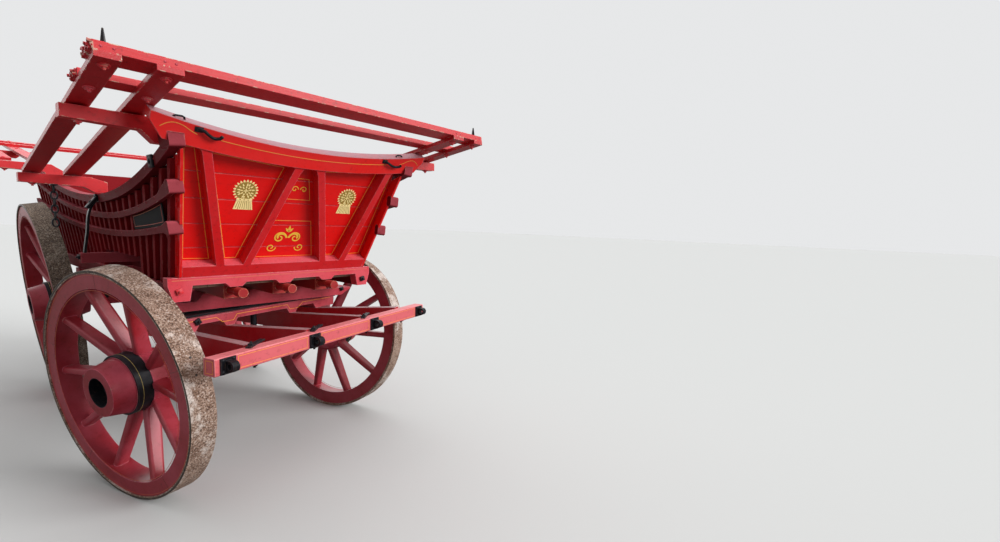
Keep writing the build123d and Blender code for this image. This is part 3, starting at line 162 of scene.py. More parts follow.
def noise(vector, scale, detail, roughness, distortion=0.0):
    sockets = {"Vector": vector, "Scale": scale, "Detail": detail, "Roughness": roughness,
               "Distortion": distortion}
    return add_node(vector.id_data, "TexNoise", sockets).outputs[0]


def start_group(name, inputs, outputs):
    tree = bpy.data.node_groups.new(name, "ShaderNodeTree")
    for in_out, kinds in (("INPUT", inputs), ("OUTPUT", outputs)):
        for kind, labels in kinds.items():
            for label in labels:
                tree.interface.new_socket(label, in_out=in_out, socket_type="NodeSocket" + kind)
    return tree, tree.nodes.new("NodeGroupInput").outputs, tree.nodes.new("NodeGroupOutput")


print("paint chart red in linear light", [round(v, 3) for v in paint(200, 24, 24)[:3]])

# %% [markdown]
# Old gloss paint rubs away first along the arrises of a timber, and here the arrises are also lightened as a
# painted highlight. The Bevel node sees how a rounded edge would tilt the surface, and where that differs
# from the flat face we are beside an edge. Broken up by noise, that gives a soft mask for faded paint with
# painted highlight, and a sharp one for chips. It is a node group of its own, which the paint below places.

# %% Node group: worn edges with painted highlights
edge_tree, edge_in, edge_end = start_group("worn_and_highlit_edges", {"Float": ("Width",)}, {"Float": ("Mask", "Chips")})
rounded = add_node(edge_tree, "Bevel", {"Radius": edge_in["Width"]}, samples=6)
flat = add_node(edge_tree, "NewGeometry")
agree = add_node(
    edge_tree, "VectorMath", {0: rounded.outputs[0], 1: flat.outputs["Normal"]},
    operation="DOT_PRODUCT",
)
edge_place = add_node(edge_tree, "TexCoord").outputs["Object"]
edge_mask = between(agree.outputs["Value"], 0.992, 0.86)
rubbed_and_highlit = between(noise(edge_place, 9.0, 6.0, 0.65), 0.34, 0.58, 0.25, 1.0)
flaked = between(noise(edge_place, 34.0, 4.0, 0.6), 0.555, 0.60)
fill(edge_end, {"Mask": times(edge_mask, rubbed_and_highlit, True), "Chips": times(edge_mask, flaked, True)})
print("group", edge_tree.name)

# %% [markdown]
# Brushed paint on sawn ash and oak: the grain shows through as faint ridges, the top faces are lighter,
# partly faded to pink under years of light and dust and partly a painted light from above, and thin grime
# lies in cloudy patches. Faces that look forward can be lightened as well, a painted light from the front.
# The Stretch input turns the grain along the timber, since a pole's grain runs fore and aft and a post's runs
# up. Where a chip has come off, pale undercoat shows.

# %% Node group: faded paint with painted light
SURFACE = {"Color": ("Color",), "Float": ("Roughness", "Height")}
WEAR_AND_LIGHT = ("Top Fade And Light", "Patch Fade", "Edge Fade And Highlight", "Chip Amount", "Dirt")
EDGE_WIDTH = 0.007
PAINT_INPUTS = {"Color": ("Paint", "Faded And Lit", "Grime", "Chip"), "Float": (*WEAR_AND_LIGHT, "Painted Front Light", "Dull"),
                "Vector": ("Stretch",)}
paint_tree, paint_in, paint_end = start_group("faded_and_lit_paint", PAINT_INPUTS, SURFACE)
place = add_node(paint_tree, "TexCoord").outputs
stretched = add_node(
    paint_tree, "Mapping", {"Vector": place["Object"], "Scale": paint_in["Stretch"]}
)
faces_way = add_node(paint_tree, "SeparateXYZ", {0: place["Normal"]}).outputs
edges = add_node(paint_tree, "Group", {"Width": EDGE_WIDTH}, node_tree=edge_tree).outputs
grain = noise(stretched.outputs[0], 9.0, 5.0, 0.6, 0.4)
patches = noise(place["Object"], 3.2, 5.0, 0.62)
specks = noise(place["Object"], 46.0, 3.0, 0.7)
cloud = between(patches, 0.36, 0.66)
streaks = between(grain, 0.42, 0.64)
# top faces are lighter: partly faded by sun and dust, partly painted light from above
top_faded_and_lit = times(between(faces_way["Z"], 0.2, 0.9), paint_in["Top Fade And Light"])
top_fade_and_light = times(top_faded_and_lit, between(plus(cloud, streaks), 0.0, 1.6, 0.5, 1.0))
patch_fade = times(cloud, paint_in["Patch Fade"])
# painted light: faces that look forward are lightened as if lit from the front
painted_front_light = times(between(faces_way["Y"], -0.6, -0.95), paint_in["Painted Front Light"])
# arrises are lightened, partly by rubbed paint and partly as a painted highlight
edge_fade_and_highlight = times(edges["Mask"], paint_in["Edge Fade And Highlight"])
# the faded colour is mixed in where paint has faded, and where light is painted in on tops, forward faces and
# arrises
fade_and_light = plus(plus(plus(top_fade_and_light, patch_fade), painted_front_light), edge_fade_and_highlight, True)
faded_and_lit = mix_colour(fade_and_light, paint_in["Paint"], paint_in["Faded And Lit"])
specked = times(between(specks, 0.54, 0.74), paint_in["Dirt"])
dirty = mix_colour(times(specked, between(patches, 0.66, 0.40, 0.1, 1.0)), faded_and_lit, paint_in["Grime"])
chipped = times(edges["Chips"], paint_in["Chip Amount"], True)
fill(paint_end, {
    "Color": mix_colour(chipped, dirty, paint_in["Chip"]),
    "Roughness": plus(between(fade_and_light, 0.0, 1.0, 0.36, 0.62), paint_in["Dull"], True),
    "Height": combine("SUBTRACT", plus(grain, times(specks, 0.25)), chipped),
})
print("group", paint_tree.name)


# %% [markdown]
# Each material places a group with its own colours. The Principled shader and the Bump
# node stay in the material itself, because that is where an exporter looks for them.
# Under paint the Bump node starts from a bevelled normal, so that every arris catches a
# little light as if it had been eased with a plane. The finished materials are kept by
# name in one dictionary, from which timbers and fittings take their coat.

# %% Painted materials
GRAIN_ACROSS = (1.0, 14.0, 14.0)
GRAIN_ALONG = (14.0, 1.0, 14.0)
GRAIN_UP = (14.0, 14.0, 1.0)
NO_GRAIN = (3.0, 3.0, 3.0)
RED_GRIME, UNDERCOAT, BARE_IRON = (96, 22, 24), (214, 190, 166), (120, 92, 74)
coats = {}


def make_coat(name, group, values, relief, depth, shine, eased=0.0):
    material = coats[name] = bpy.data.materials.new(name)
    material.use_nodes = True
    tree = material.node_tree
    layer = add_node(tree, "Group", values, node_tree=group).outputs
    bump = add_node(tree, "Bump", {"Height": layer["Height"], "Strength": relief, "Distance": depth})
    if eased:
        fill(bump, {"Normal": add_node(tree, "Bevel", {"Radius": eased}, samples=6).outputs[0]})
    fill(tree.nodes["Principled BSDF"], {
        "Base Color": layer["Color"], "Roughness": layer["Roughness"], "Normal": bump.outputs[0], **shine,
    })


def make_painted(name, colour, faded_and_lit, grain_way, wear_and_light, grime=RED_GRIME, chip=UNDERCOAT, relief=0.25,
                 eased=0.004, gloss=0.25, dull=0.0, painted_front_light=0.0):
    values = {"Paint": paint(*colour), "Faded And Lit": paint(*faded_and_lit), "Grime": paint(*grime), "Chip": paint(*chip),
              "Stretch": grain_way, "Dull": dull, "Painted Front Light": painted_front_light, **dict(zip(WEAR_AND_LIGHT, wear_and_light))}
    make_coat(name, paint_tree, values, relief, 0.002, {"Specular IOR Level": gloss}, eased)


print("one coat is a group, a bump and a shader")

# %% [markdown]
# The front board was kept bright for show. The rails, posts and beds are duller, and the sides are painted
# darker as shade. Besides its two reds, each coat says which way its grain runs and how much wear and painted
# light it has, because a sill below the load is rubbed more than a board.

# %% Red coats
BODY_RED, BODY_FADED_AND_LIT, WHEEL_FADED_AND_SHEEN = (204, 22, 26), (222, 104, 116), (210, 102, 124)
# wear and painted light: fading and painted light on top faces, fading in patches, fading and painted
# highlights at edges, then chips and dirt
FRONT_WEAR_AND_LIGHT = (0.85, 0.12, 0.75, 0.35, 0.45)
FRAME_WEAR_AND_LIGHT = (0.55, 0.14, 0.8, 1.6, 0.7)
WHEEL_WEAR_AND_SHEEN = (0.0, 0.36, 0.8, 0.4, 0.7)
make_painted("board_red", (222, 12, 8), BODY_FADED_AND_LIT, GRAIN_ACROSS, (0.5, 0.04, 0.35, 0.15, 0.25))
make_painted("red_across", BODY_RED, BODY_FADED_AND_LIT, GRAIN_ACROSS, FRONT_WEAR_AND_LIGHT)
make_painted("red_up", BODY_RED, BODY_FADED_AND_LIT, GRAIN_UP, FRONT_WEAR_AND_LIGHT)
make_painted("red_along", BODY_RED, BODY_FADED_AND_LIT, GRAIN_ALONG, FRONT_WEAR_AND_LIGHT)
make_painted("gear_red", (206, 92, 98), (236, 146, 150), GRAIN_ACROSS, FRONT_WEAR_AND_LIGHT)
make_painted("frame_across", (190, 24, 30), (232, 84, 92), GRAIN_ACROSS, FRAME_WEAR_AND_LIGHT, relief=0.4)
make_painted("frame_along", (172, 22, 28), (226, 80, 88), GRAIN_ALONG, FRAME_WEAR_AND_LIGHT, relief=0.4)
make_painted("rail_red", (230, 28, 24), (186, 150, 160), GRAIN_ACROSS, (1.0, 0.04, 0.5, 0.3, 0.3))
make_painted("hound_red", (176, 20, 30), (186, 168, 172), GRAIN_ALONG, (0.9, 0.1, 0.4, 0.3, 0.5))
make_painted("pole_red", (150, 16, 26), (240, 150, 110), GRAIN_ALONG, (0.15, 0.08, 0.6, 0.6, 0.5))
# The three side coats are darker copies of the body's red, a painted shade, and the side rails' coat also has
# painted light on its forward faces.
make_painted("shaded_side_along", (96, 12, 18), (186, 84, 94), GRAIN_ALONG, (0.8, 0.12, 0.6, 0.3, 0.7),
             relief=0.6, eased=0.005, gloss=0.06, dull=0.2, painted_front_light=0.45)
make_painted("shaded_side_up", (124, 20, 26), (150, 46, 52), GRAIN_UP, (0.4, 0.06, 0.2, 0.1, 0.7),
             gloss=0.04, dull=0.25)
make_painted("shaded_side_deep", (80, 15, 21), (116, 44, 48), GRAIN_ALONG, (0.4, 0.1, 0.2, 0.0, 0.7),
             gloss=0.03, dull=0.3)
make_painted("sill_red", (200, 50, 62), (228, 122, 136), GRAIN_ACROSS, (0.8, 0.25, 0.8, 0.4, 0.5))
make_painted("bolster_red", (172, 42, 56), (206, 96, 112), GRAIN_ACROSS, (0.7, 0.25, 0.7, 0.3, 0.6))
make_painted("pillow_red", (176, 62, 72), (218, 120, 130), GRAIN_ACROSS, (0.7, 0.25, 0.8, 0.4, 0.6))
# the wheels' pinker faded colour in larger patches is partly a painted sheen on the spokes
make_painted("wheel_red", (152, 26, 34), WHEEL_FADED_AND_SHEEN, NO_GRAIN, WHEEL_WEAR_AND_SHEEN,
             relief=0.3, eased=0.006, gloss=0.55)
make_painted("nave_red", (148, 30, 40), WHEEL_FADED_AND_SHEEN, NO_GRAIN, WHEEL_WEAR_AND_SHEEN)
print("red coats", len(coats))

# %% [markdown]
# The same paint group serves the black irons, the yellow lines and the bare floor: black
# paint chips down to brown iron, and a thin line has hardly any relief.

# %% Black, yellow and bare coats
LINE_COAT = {"relief": 0.05, "eased": 0.001}
make_painted("black_iron", (20, 20, 24), (66, 66, 72), NO_GRAIN, (0.2, 0.12, 0.5, 0.3, 0.6),
             (70, 52, 44), BARE_IRON, relief=0.35, eased=0.002, gloss=0.12)
make_painted("plate_black", (14, 14, 16), (34, 34, 38), NO_GRAIN, (0.2, 0.1, 0.3, 0.2, 0.5),
             (44, 34, 30), BARE_IRON, relief=0.15, eased=0.002, gloss=0.04, dull=0.2)
# black for dirt and, on the tyres' side faces, painted shade; felloe joints and tyre bolts take it too
make_painted("tyre_edge_dirt_and_shade", (44, 38, 36), (128, 112, 98), NO_GRAIN, (0.1, 0.35, 0.4, 0.5, 0.8),
             (24, 20, 20), relief=0.5)
make_painted("line_yellow", (240, 160, 62), (226, 128, 84), NO_GRAIN, (0.1, 0.45, 0.1, 0.0, 0.9),
             (190, 80, 40), **LINE_COAT)
make_painted("line_worn", (216, 132, 84), (206, 84, 84), NO_GRAIN, (0.4, 0.9, 0.1, 0.0, 1.2),
             (150, 50, 44), **LINE_COAT)
make_painted("hoop_gold", (196, 176, 100), (150, 130, 84), NO_GRAIN, (0.1, 0.5, 0.1, 0.0, 1.4),
             (60, 54, 40), **LINE_COAT)
make_painted("bare_boards", (118, 94, 74), (158, 142, 122), GRAIN_ALONG, (0.5, 0.4, 0.3, 0.3, 0.8),
             (76, 60, 48), relief=0.5)
print("painted coats", len(coats))

# %% [markdown]
# The tyres are hoops of wrought iron. Their treads have rusted brown, with pale scoured patches where they
# last stood in the wet and dark pits between. Three sizes of noise are layered: broad ones place the patches,
# middle ones tear their edges, and fine ones pit and speckle them. The same group gives a brighter iron for
# the fore wheels' tyres and a darker, less scoured one for the hind wheels' tyres.

# %% Node group and materials: rusted iron
IRON_COLOURS = ("Rust", "Bloom", "Scour", "Pit")
IRON_AMOUNTS = ("Scour Amount", "Pit Amount")
IRON_INPUTS = {"Color": IRON_COLOURS, "Float": IRON_AMOUNTS}
rust_tree, rust_in, rust_end = start_group("rusted_iron", IRON_INPUTS, SURFACE)
iron_place = add_node(rust_tree, "TexCoord").outputs["Object"]
broad = noise(iron_place, 4.2, 3.0, 0.55)
middle = noise(iron_place, 19.0, 6.0, 0.75)
fine = noise(iron_place, 125.0, 3.0, 0.75)
bloomed = mix_colour(between(middle, 0.38, 0.64), rust_in["Rust"], rust_in["Bloom"])
torn = plus(broad, times(combine("SUBTRACT", middle, 0.5), 0.7))
scoured = times(between(torn, 0.52, 0.64), rust_in["Scour Amount"], True)
pale = mix_colour(scoured, bloomed, rust_in["Scour"])
freckled = mix_colour(times(between(fine, 0.43, 0.38), 0.7), pale, rust_in["Scour"])
pit_room = times(between(scoured, 0.0, 1.0, 1.0, 0.45), rust_in["Pit Amount"])
pitted = times(between(fine, 0.53, 0.58), pit_room, True)
fill(rust_end, {
    "Color": mix_colour(pitted, freckled, rust_in["Pit"]),
    "Roughness": between(scoured, 0.0, 1.0, 0.85, 0.5),
    "Height": combine("SUBTRACT", middle, times(pitted, 0.6)),
})
# name, colours of rust, bloom on it, scoured iron and pits, how much is scoured and pitted
TYRE_IRONS = (
    ("tyre_iron", ((134, 104, 86), (172, 144, 126), (210, 198, 190), (66, 44, 36)), (0.8, 0.85)),
    ("dark_tyre_iron", ((84, 68, 56), (108, 90, 76), (170, 158, 144), (40, 30, 26)), (0.22, 0.9)),
)
for name, colours, amounts in TYRE_IRONS:
    values = dict(zip(IRON_COLOURS + IRON_AMOUNTS, [paint(*colour) for colour in colours] + list(amounts)))
    make_coat(name, rust_tree, values, 0.6, 0.004, {"Metallic": 0.15})
print("group", rust_tree.name)

# %% [markdown]
# Every loaded piece now takes a finish. The grain follows the way each timber runs, so the pieces are listed
# by direction. The sides and the gear below them have a darker, duller coat than the front board; on the
# sides it is a painted shade.

# %% Finish for every loaded piece
FINISHES = {
    "board_red": ("front_boards", "corner_boards"),
    "sill_red": ("front_sill", "tail_sill"),
    "bolster_red": ("fore_bolster", "hind_bolster", "fore_axle_bed", "hind_axle_bed", "sway_bar"),
    "pillow_red": ("fore_pillow",),
    "red_up": ("front_frame",),
    "rail_red": ("head_rail",),
    "gear_red": ("splinter_bar",),
    "frame_across": ("front_harvest_bars", "hind_harvest_bars", "front_harvest_arms", "hind_harvest_arms"),
    "frame_along": ("front_harvest_raves", "hind_harvest_raves"),
    "hound_red": ("hounds",),
    "pole_red": ("bed_poles", "perch"),
    "shaded_side_along": ("top_rails", "upper_mid_rails", "lower_mid_rails", "soles", "stay_ledges"),
    "shaded_side_deep": ("side_boards", "waist_panels"),
    "shaded_side_up": ("spindles", "tailboard"),
    "bare_boards": ("floor_boards",),
    "plate_black": ("side_plate",),
    "black_iron": ("side_stays", "shaft_eyes", "lower_rubbing_plate", "upper_rubbing_plate", "kingpin",
                   "fore_axle_arms", "hind_axle_arms", "tail_hinges", "tail_hinge_pins"),
}
coat_of = {name: coat for coat, names in FINISHES.items() for name in names}
for name, piece in cad_nodes.items():
    tread = "dark_tyre_iron" if name.startswith("hind_") else "tyre_iron"
    ending = name.rsplit("_", 1)[-1]
    coat = {"wheel": "wheel_red", "nave": "nave_red", "tyre": tread}.get(ending) or coat_of[name]
    piece.data.materials.clear()
    piece.data.materials.append(coats[coat])
print("finished", len(cad_nodes), "pieces")

# %% [markdown]
# Bolts, hooks, straps and painted lines are too small for the construction model, so
# they are made here. Each is pushed and pulled into form inside a with block.
# When the block ends, the shape is closed into a finished piece: doubled corners merge, the faces turn
# outwards, and it is fastened to a moving body. One fault is known and left: the loaded model has a
# black_iron of its own, so Blender names ours black_iron.001.

# %% Fittings, and how they find the timbers
FAR_OUT, FAR_UP = 1100, 2400
SIDES = ((-1, "left"), (1, "right"))


@contextmanager
def fitting(name, coat, body="wagon_body", smooth=30):
    work = bmesh.new()
    yield work
    bmesh.ops.remove_doubles(work, verts=work.verts, dist=0.00002)
    bmesh.ops.recalc_face_normals(work, faces=work.faces)
    mesh = bpy.data.meshes.new(name)
    work.to_mesh(mesh)
    work.free()
    mesh.shade_smooth()
    mesh.set_sharp_from_angle(angle=math.radians(smooth))
    material = coats[coat]
    mesh.materials.append(material)
    piece = put_in_scene(name, mesh)
    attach(piece, body)
    print(name, len(mesh.polygons), "faces on", body)


def facing(at, outwards, upwards=(0, 0, 1)):
    normal = Vector(outwards).normalized()
    side = Vector(upwards).cross(normal).normalized()
    return Matrix.Translation(at) @ Matrix((side, normal.cross(side), normal)).transposed().to_4x4()


def touch(node, start, towards):
    hit, place, normal, _ = cad_nodes[node].ray_cast(Vector(start), Vector(towards).normalized())
    if not hit:
        raise ValueError(f"nothing of {node} lies that way from {tuple(start)}")
    return place, normal


def from_above(node, places, x, y):
    return touch(node, places(x, y, FAR_UP), (0, 0, -1))


def from_side(node, side, y, z):
    return touch(node, on_body(side * FAR_OUT, y, z), (-side, 0, 0))


print("fittings are laid on the timbers by ray casting, so they touch whatever its size")

# %% [markdown]
# A block is a cube stretched to size, with softened edges as forged or sawn things
# have. A bolt is a flat square nut with a short round end standing out of it. Both are
# placed by a matrix whose Z axis points straight out of the surface.

# %% Blocks and bolts
def block(work, place, width, height, depth, soft=0.0015):
    stretch = Matrix.Translation((0, 0, depth / 2)) @ Matrix.Diagonal((width, height, depth, 1))
    made = bmesh.ops.create_cube(work, size=1, matrix=place @ stretch)
    edges = {edge for vert in made["verts"] for edge in vert.link_edges}
    bmesh.ops.bevel(
        work, geom=list(edges), offset=soft, segments=2, affect="EDGES", profile=0.5, material=-1
    )


def round_end(work, place, radius, depth, sides=14, taper=0.78):
    bmesh.ops.create_cone(
        work, cap_ends=True, segments=sides, radius1=radius, radius2=radius * taper, depth=depth,
        matrix=place @ Matrix.Translation((0, 0, depth / 2)),
    )


def nut_and_bolt(work, place, across=0.026, turned=0.0, washer=False):
    spun = place @ Matrix.Rotation(math.radians(turned), 4, "Z")
    sunk = spun @ Matrix.Translation((0, 0, -0.001))
    if washer:
        round_end(work, sunk, across * 0.9, 0.005, 20, 0.94)
    block(work, sunk, across, across, across * 0.5)
    round_end(work, spun @ Matrix.Translation((0, 0, across * 0.4)), across * 0.29, across * 0.42)


def round_head(work, place, across, fineness=2):
    flattened = Matrix.Diagonal((across / 2, across / 2, across * 0.28, 1))
    bmesh.ops.create_icosphere(work, subdivisions=fineness, radius=1, matrix=place @ flattened)


print("a nut is 26 mm across unless told otherwise")

# %% [markdown]
# Straps and painted lines are ribbons, and hooks and chain are round bar. Both are drawn
# out along a path: a short row of corners is extruded from point to point. The helper
# below takes one such step. It finds which new corner grew from which old one, so that
# the row never twists. A second helper lifts a flat shape to give it its thickness.

# %% Drawing out a row of corners
def draw_out(work, row, places, looped=False):
    pairs = list(zip(row, row[1:] + row[:1])) if looped else list(zip(row, row[1:]))
    edges = [work.edges.get(pair) for pair in pairs]
    grown = bmesh.ops.extrude_edge_only(work, edges=edges)["geom"]
    fresh = {part for part in grown if isinstance(part, bmesh.types.BMVert)}
    moved = [
        next(edge.other_vert(vert) for edge in vert.link_edges if edge.other_vert(vert) in fresh)
        for vert in row
    ]
    for vert, place in zip(moved, places):
        vert.co = place
    return moved


def raise_faces(work, faces, way):
    raised = bmesh.ops.extrude_face_region(work, geom=faces, use_keep_orig=True)["geom"]
    corners = [part for part in raised if isinstance(part, bmesh.types.BMVert)]
    bmesh.ops.translate(work, verts=corners, vec=way)


print("rows of corners are drawn out step by step")

# %% [markdown]
# At each corner of a ribbon the row is turned half way and lengthened a little, which is
# a mitre, so that the width stays the same. The flat ribbon is then raised straight out
# of the surface.

# %% Ribbons
SHARPEST_MITRE = 0.3


def ribbon(work, points, width, thick, outwards, closed=False):
    normal = Vector(outwards).normalized()
    count = len(points)
    rows = []
    for number, point in enumerate(points):
        legs = []
        if closed or number:
            legs.append((point - points[number - 1]).normalized())
        if closed or number < count - 1:
            legs.append((points[(number + 1) % count] - point).normalized())
        ahead = sum(legs, Vector()).normalized()
        half = width / 2 / max(ahead.dot(legs[0]), SHARPEST_MITRE)
        side = ahead.cross(normal).normalized() * half
        rows.append((point - side, point + side))
    row = [work.verts.new(place) for place in rows[0]]
    work.edges.new(row)
    verts = list(row)
    for places in rows[1:] + (rows[:1] if closed else []):
        row = draw_out(work, row, places)
        verts += row
    if closed:
        bmesh.ops.weld_verts(work, targetmap=dict(zip(row, verts[:2])))
        verts = [vert for vert in verts if vert.is_valid]
    raise_faces(work, list({face for vert in verts for face in vert.link_faces}), normal * thick)


print("ribbons are mitred at their corners")

# %% [markdown]
# A round bar is a circle drawn out the same way. At every point the ring is turned to
# stay square to the path, as the bar is in the smith's tongs. A chain link is such a bar
# along an oval.

# %% Round bar
def bent_bar(work, points, radius, sides=10, closed=False):
    count = len(points)
    upright, rings = None, []
    for number, point in enumerate(points):
        before = points[number - 1] if closed or number else point
        after = points[(number + 1) % count] if closed or number < count - 1 else point
        ahead = (after - before).normalized()
        upright = ahead.orthogonal() if upright is None else upright - ahead * upright.dot(ahead)
        upright.normalize()
        square = Matrix((ahead.cross(upright), upright, ahead)).transposed()
        rings.append([
            point + square @ Vector((math.cos(turned) * radius, math.sin(turned) * radius, 0))
            for turned in (math.tau * step / sides for step in range(sides))
        ])
    row = bmesh.ops.create_circle(work, segments=sides, radius=radius)["verts"]
    for vert, place in zip(row, rings[0]):
        vert.co = place
    first = row
    for places in rings[1:]:
        row = draw_out(work, row, places, looped=True)
    if closed:
        bmesh.ops.bridge_loops(work, edges=[
            work.edges.get(pair) for loop in (row, first) for pair in zip(loop, loop[1:] + loop[:1])
        ])
    else:
        bmesh.ops.contextual_create(work, geom=first)
        bmesh.ops.contextual_create(work, geom=row)


def oval(middle, along, across, half_long, half_wide, steps=12):
    angles = [math.tau * step / steps for step in range(steps)]
    return [middle + along * (math.sin(angle) * half_long) + across * (math.cos(angle) * half_wide)
            for angle in angles]


print("bars are round, and link rings close on themselves")

# %% [markdown]
# Naves, wheels and axle ends are turned work. A profile of a few corners, given along
# and out from the axle, is spun once round it. The same helper serves all four wheels,
# because the profile is laid out on the wheel's own axle.

# %% Turned work
WHEELS = ("front_left", "front_right", "hind_left", "hind_right")


def wheel_axes(wheel):
    joint = joints[wheel + "_spin"]
    centre, axle = Vector(joint["pos_m"]), Vector(joint["axis"]).normalized()
    return centre, axle, (Vector((0, 0, 1)) - axle * axle.z).normalized()


def turned(work, wheel, profile, steps=64):
    centre, axle, _ = wheel_axes(wheel)
    away = axle.orthogonal().normalized()
    corners = [work.verts.new(centre + axle * along / 1000 + away * out / 1000) for along, out in profile]
    edges = [work.edges.new(pair) for pair in zip(corners, corners[1:] + corners[:1])]
    bmesh.ops.spin(
        work, geom=corners + edges, cent=centre, axis=axle, angle=math.tau, steps=steps, use_merge=True
    )


def on_wheel(wheel, label, coat):
    return fitting(f"{wheel}_{label}", coat, wheel + "_wheel_set")


def band(back, front, inner, outer):
    return (back, inner), (back, outer), (front, outer), (front, inner)


print("wheels", WHEELS)

# %% [markdown]
# Each nave is bound by a broad black hoop with a thin yellow line round it, and its mouth is lined black
# inside, a painted shade in the hollow. The hoop stands a millimetre and a half proud of the wood.

# %% Nave hoops and mouths
NAVE_TRIM = (
    ("nave_hoop", "black_iron", band(-51, 21, 150, 159.5)),
    ("hoop_line", "hoop_gold", band(-3, -1, 159, 160)),
    # painted shade: a black lining and an inner ring inside the nave's mouth
    ("nave_mouth_shade", "black_iron",
     ((115.3, 75.6), (115.3, 77.4), (50, 77.4), (50, 40), (51.5, 40), (51.5, 75.6))),
)
for wheel in WHEELS:
    for label, coat, profile in NAVE_TRIM:
        with on_wheel(wheel, label, coat) as work:
            turned(work, wheel, profile)

# %% [markdown]
# The splinter bar is the cross bar that the shafts pull on. Behind the eyes of the
# shafts, flat hooks lie on its top and reach back over its edge, each held by a nut.

# %% Hooks on the splinter bar
HOOK_PLACES = (-600, -205, 215)
RUN_OF_HOOK = ((-30, -748), (0, -730), (52, -700), (112, -672))  # x from the nut, and y
HOOK_WIDE, HOOK_THICK, HOOK_SUNK = 0.026, 0.008, 0.0003
for number, x in enumerate(HOOK_PLACES, 1):
    top, _ = from_above("splinter_bar", on_carriage, x, -747)
    path = [on_carriage(x + across, y, (top.z - HOOK_SUNK) * 1000) for across, y in RUN_OF_HOOK]
    with fitting(f"bar_hook_{number}", "black_iron", "fore_carriage") as work:
        ribbon(work, path, HOOK_WIDE, HOOK_THICK, (0, 0, 1))
        seat = path[1] + Vector((0, 0, 0.006))
        nut_and_bolt(work, facing(seat, (0, 0, 1), heading(on_carriage, 0, 1, 0)), 0.024, 30)

# %% [markdown]
# Bolts hold the whole wagon together. Coach bolts show a round head on one side and a
# square nut, often on a washer, on the other. They stand in tables: the piece, a point
# in front of its surface in the drawing's millimetres, the way to look for that surface,
# the size and the kind. A row whose distance from the middle isn't nought is made on
# both sides. Nuts stop at any angle, so each is turned by a rule from its place.

# %% Laying out bolts from a table
FORE, AFT, UP, DOWN, IN = (0, -1, 0), (0, 1, 0), (0, 0, 1), (0, 0, -1), (-1, 0, 0)
ASKEW = (0.1, 0.9, 0.5)  # lies along no face's normal, so it can say which way is up on all


def fasten(name, coat, rows, places=on_body, body="wagon_body"):
    with fitting(name, coat, body) as work:
        for node, x, y, z, (dx, dy, dz), across, kind in rows:
            for side in (-1, 1) if x else (1,):
                hit, normal = touch(node, places(side * x, y, z), heading(places, side * dx, dy, dz))
                place = facing(hit, normal, ASKEW)
                if kind == "head":
                    round_head(work, place, across / 1000)
                else:
                    turned_by = (x * 7 + y * 3 + side * 20) % 90
                    nut_and_bolt(work, place, across / 1000, turned_by, kind == "washer")


def lone_nut(name, coat, node, start, across, turned_by, places=on_body, body="wagon_body"):
    with fitting(name, coat, body) as work:
        place = facing(*touch(node, places(*start), heading(places, *AFT)))
        nut_and_bolt(work, place, across / 1000, turned_by)


print("tables name the piece, the place, the way to look, the size and the kind")

# %% [markdown]
# On the harvest frame each long board is bolted through the cross bars and through the
# arms below. Its bolts were painted over many times with the rest, so they take the
# frame's red. The front bar also shows the heads of two nails to each board.

# %% Bolts of the harvest frames
OUTER_RAVE, INNER_RAVE = 925.5, 747.5
FRAME_CROSSINGS = {"front": (-1066, -836), "hind": (3505, 3275)}
FRAME_ARMS = {"front": (-625, 641), "hind": (3009, 1904)}
UNDER_RAVES, UNDER_ARMS = 1700, 1300
for end in ("front", "hind"):
    rows = []
    for x in (OUTER_RAVE, INNER_RAVE):
        for y in FRAME_CROSSINGS[end]:
            rows.append((end + "_harvest_raves", x, y, UNDER_RAVES, UP, 22, "washer"))
            rows.append((end + "_harvest_bars", x, y, FAR_UP, DOWN, 26, "head"))
        for y in FRAME_ARMS[end]:
            rows.append((end + "_harvest_raves", x, y, FAR_UP, DOWN, 26, "head"))
    for y in FRAME_ARMS[end]:
        rows.append((end + "_harvest_arms", OUTER_RAVE, y, UNDER_ARMS, UP, 22, "washer"))
    fasten(end + "_frame_bolts", "red_along", rows)
NAIL_LEVEL, NAILS_ASIDE = 2028, (-18, 16)
fasten("front_bar_nails", "bolster_red", [
    ("front_harvest_bars", x + aside, -1400, NAIL_LEVEL, AFT, 10, "head")
    for x in (OUTER_RAVE, INNER_RAVE) for aside in NAILS_ASIDE
])

# %% [markdown]
# The body's own irons are black: nuts at the feet of the side stays and heads at their
# tops, nuts on the tail sill, the bolsters and the hind axle bed, and heads on the hinge
# plates. The front sill has a painted nut at its left end and a bare one at its right.

# %% Bolts of the body
lone_nut("sill_nut_painted", "red_across", "front_sill", (-544, -700, 1097), 28, 20)
lone_nut("sill_nut_bare", "black_iron", "front_sill", (534, -700, 1087), 30, 15)
BODY_BOLTS = [
    ("stay_ledges", 900, 670, 1205, IN, 24, "nut"),
    ("side_stays", 900, 670, 1578, IN, 20, "head"),
    ("side_stays", 900, 670, 1560, IN, 20, "head"),
    ("tail_sill", 520, 3200, 1120, FORE, 26, "nut"),
    ("tail_sill", 180, 3200, 1120, FORE, 26, "nut"),
    ("tail_hinge_pins", 385, 3200, 1100, FORE, 18, "head"),
    ("tail_hinge_pins", 416, 3200, 1100, FORE, 18, "head"),
    ("fore_bolster", 585, -400, 975, AFT, 26, "nut"),
    ("hind_bolster", 470, 2300, 905, FORE, 26, "nut"),
    ("hind_bolster", 470, 1500, 905, AFT, 26, "nut"),
    ("hind_axle_bed", 400, 2300, 790, FORE, 28, "nut"),
    ("hind_axle_bed", 400, 1500, 790, AFT, 28, "nut"),
]
fasten("body_bolts", "black_iron", BODY_BOLTS)
STRAP_BOLTS = [("tail_hinges", 400.5, 3300, z, FORE, 18, "head") for z in (1230, 1335, 1441)]
fasten("strap_bolts", "black_iron", STRAP_BOLTS, body="tail_gate")

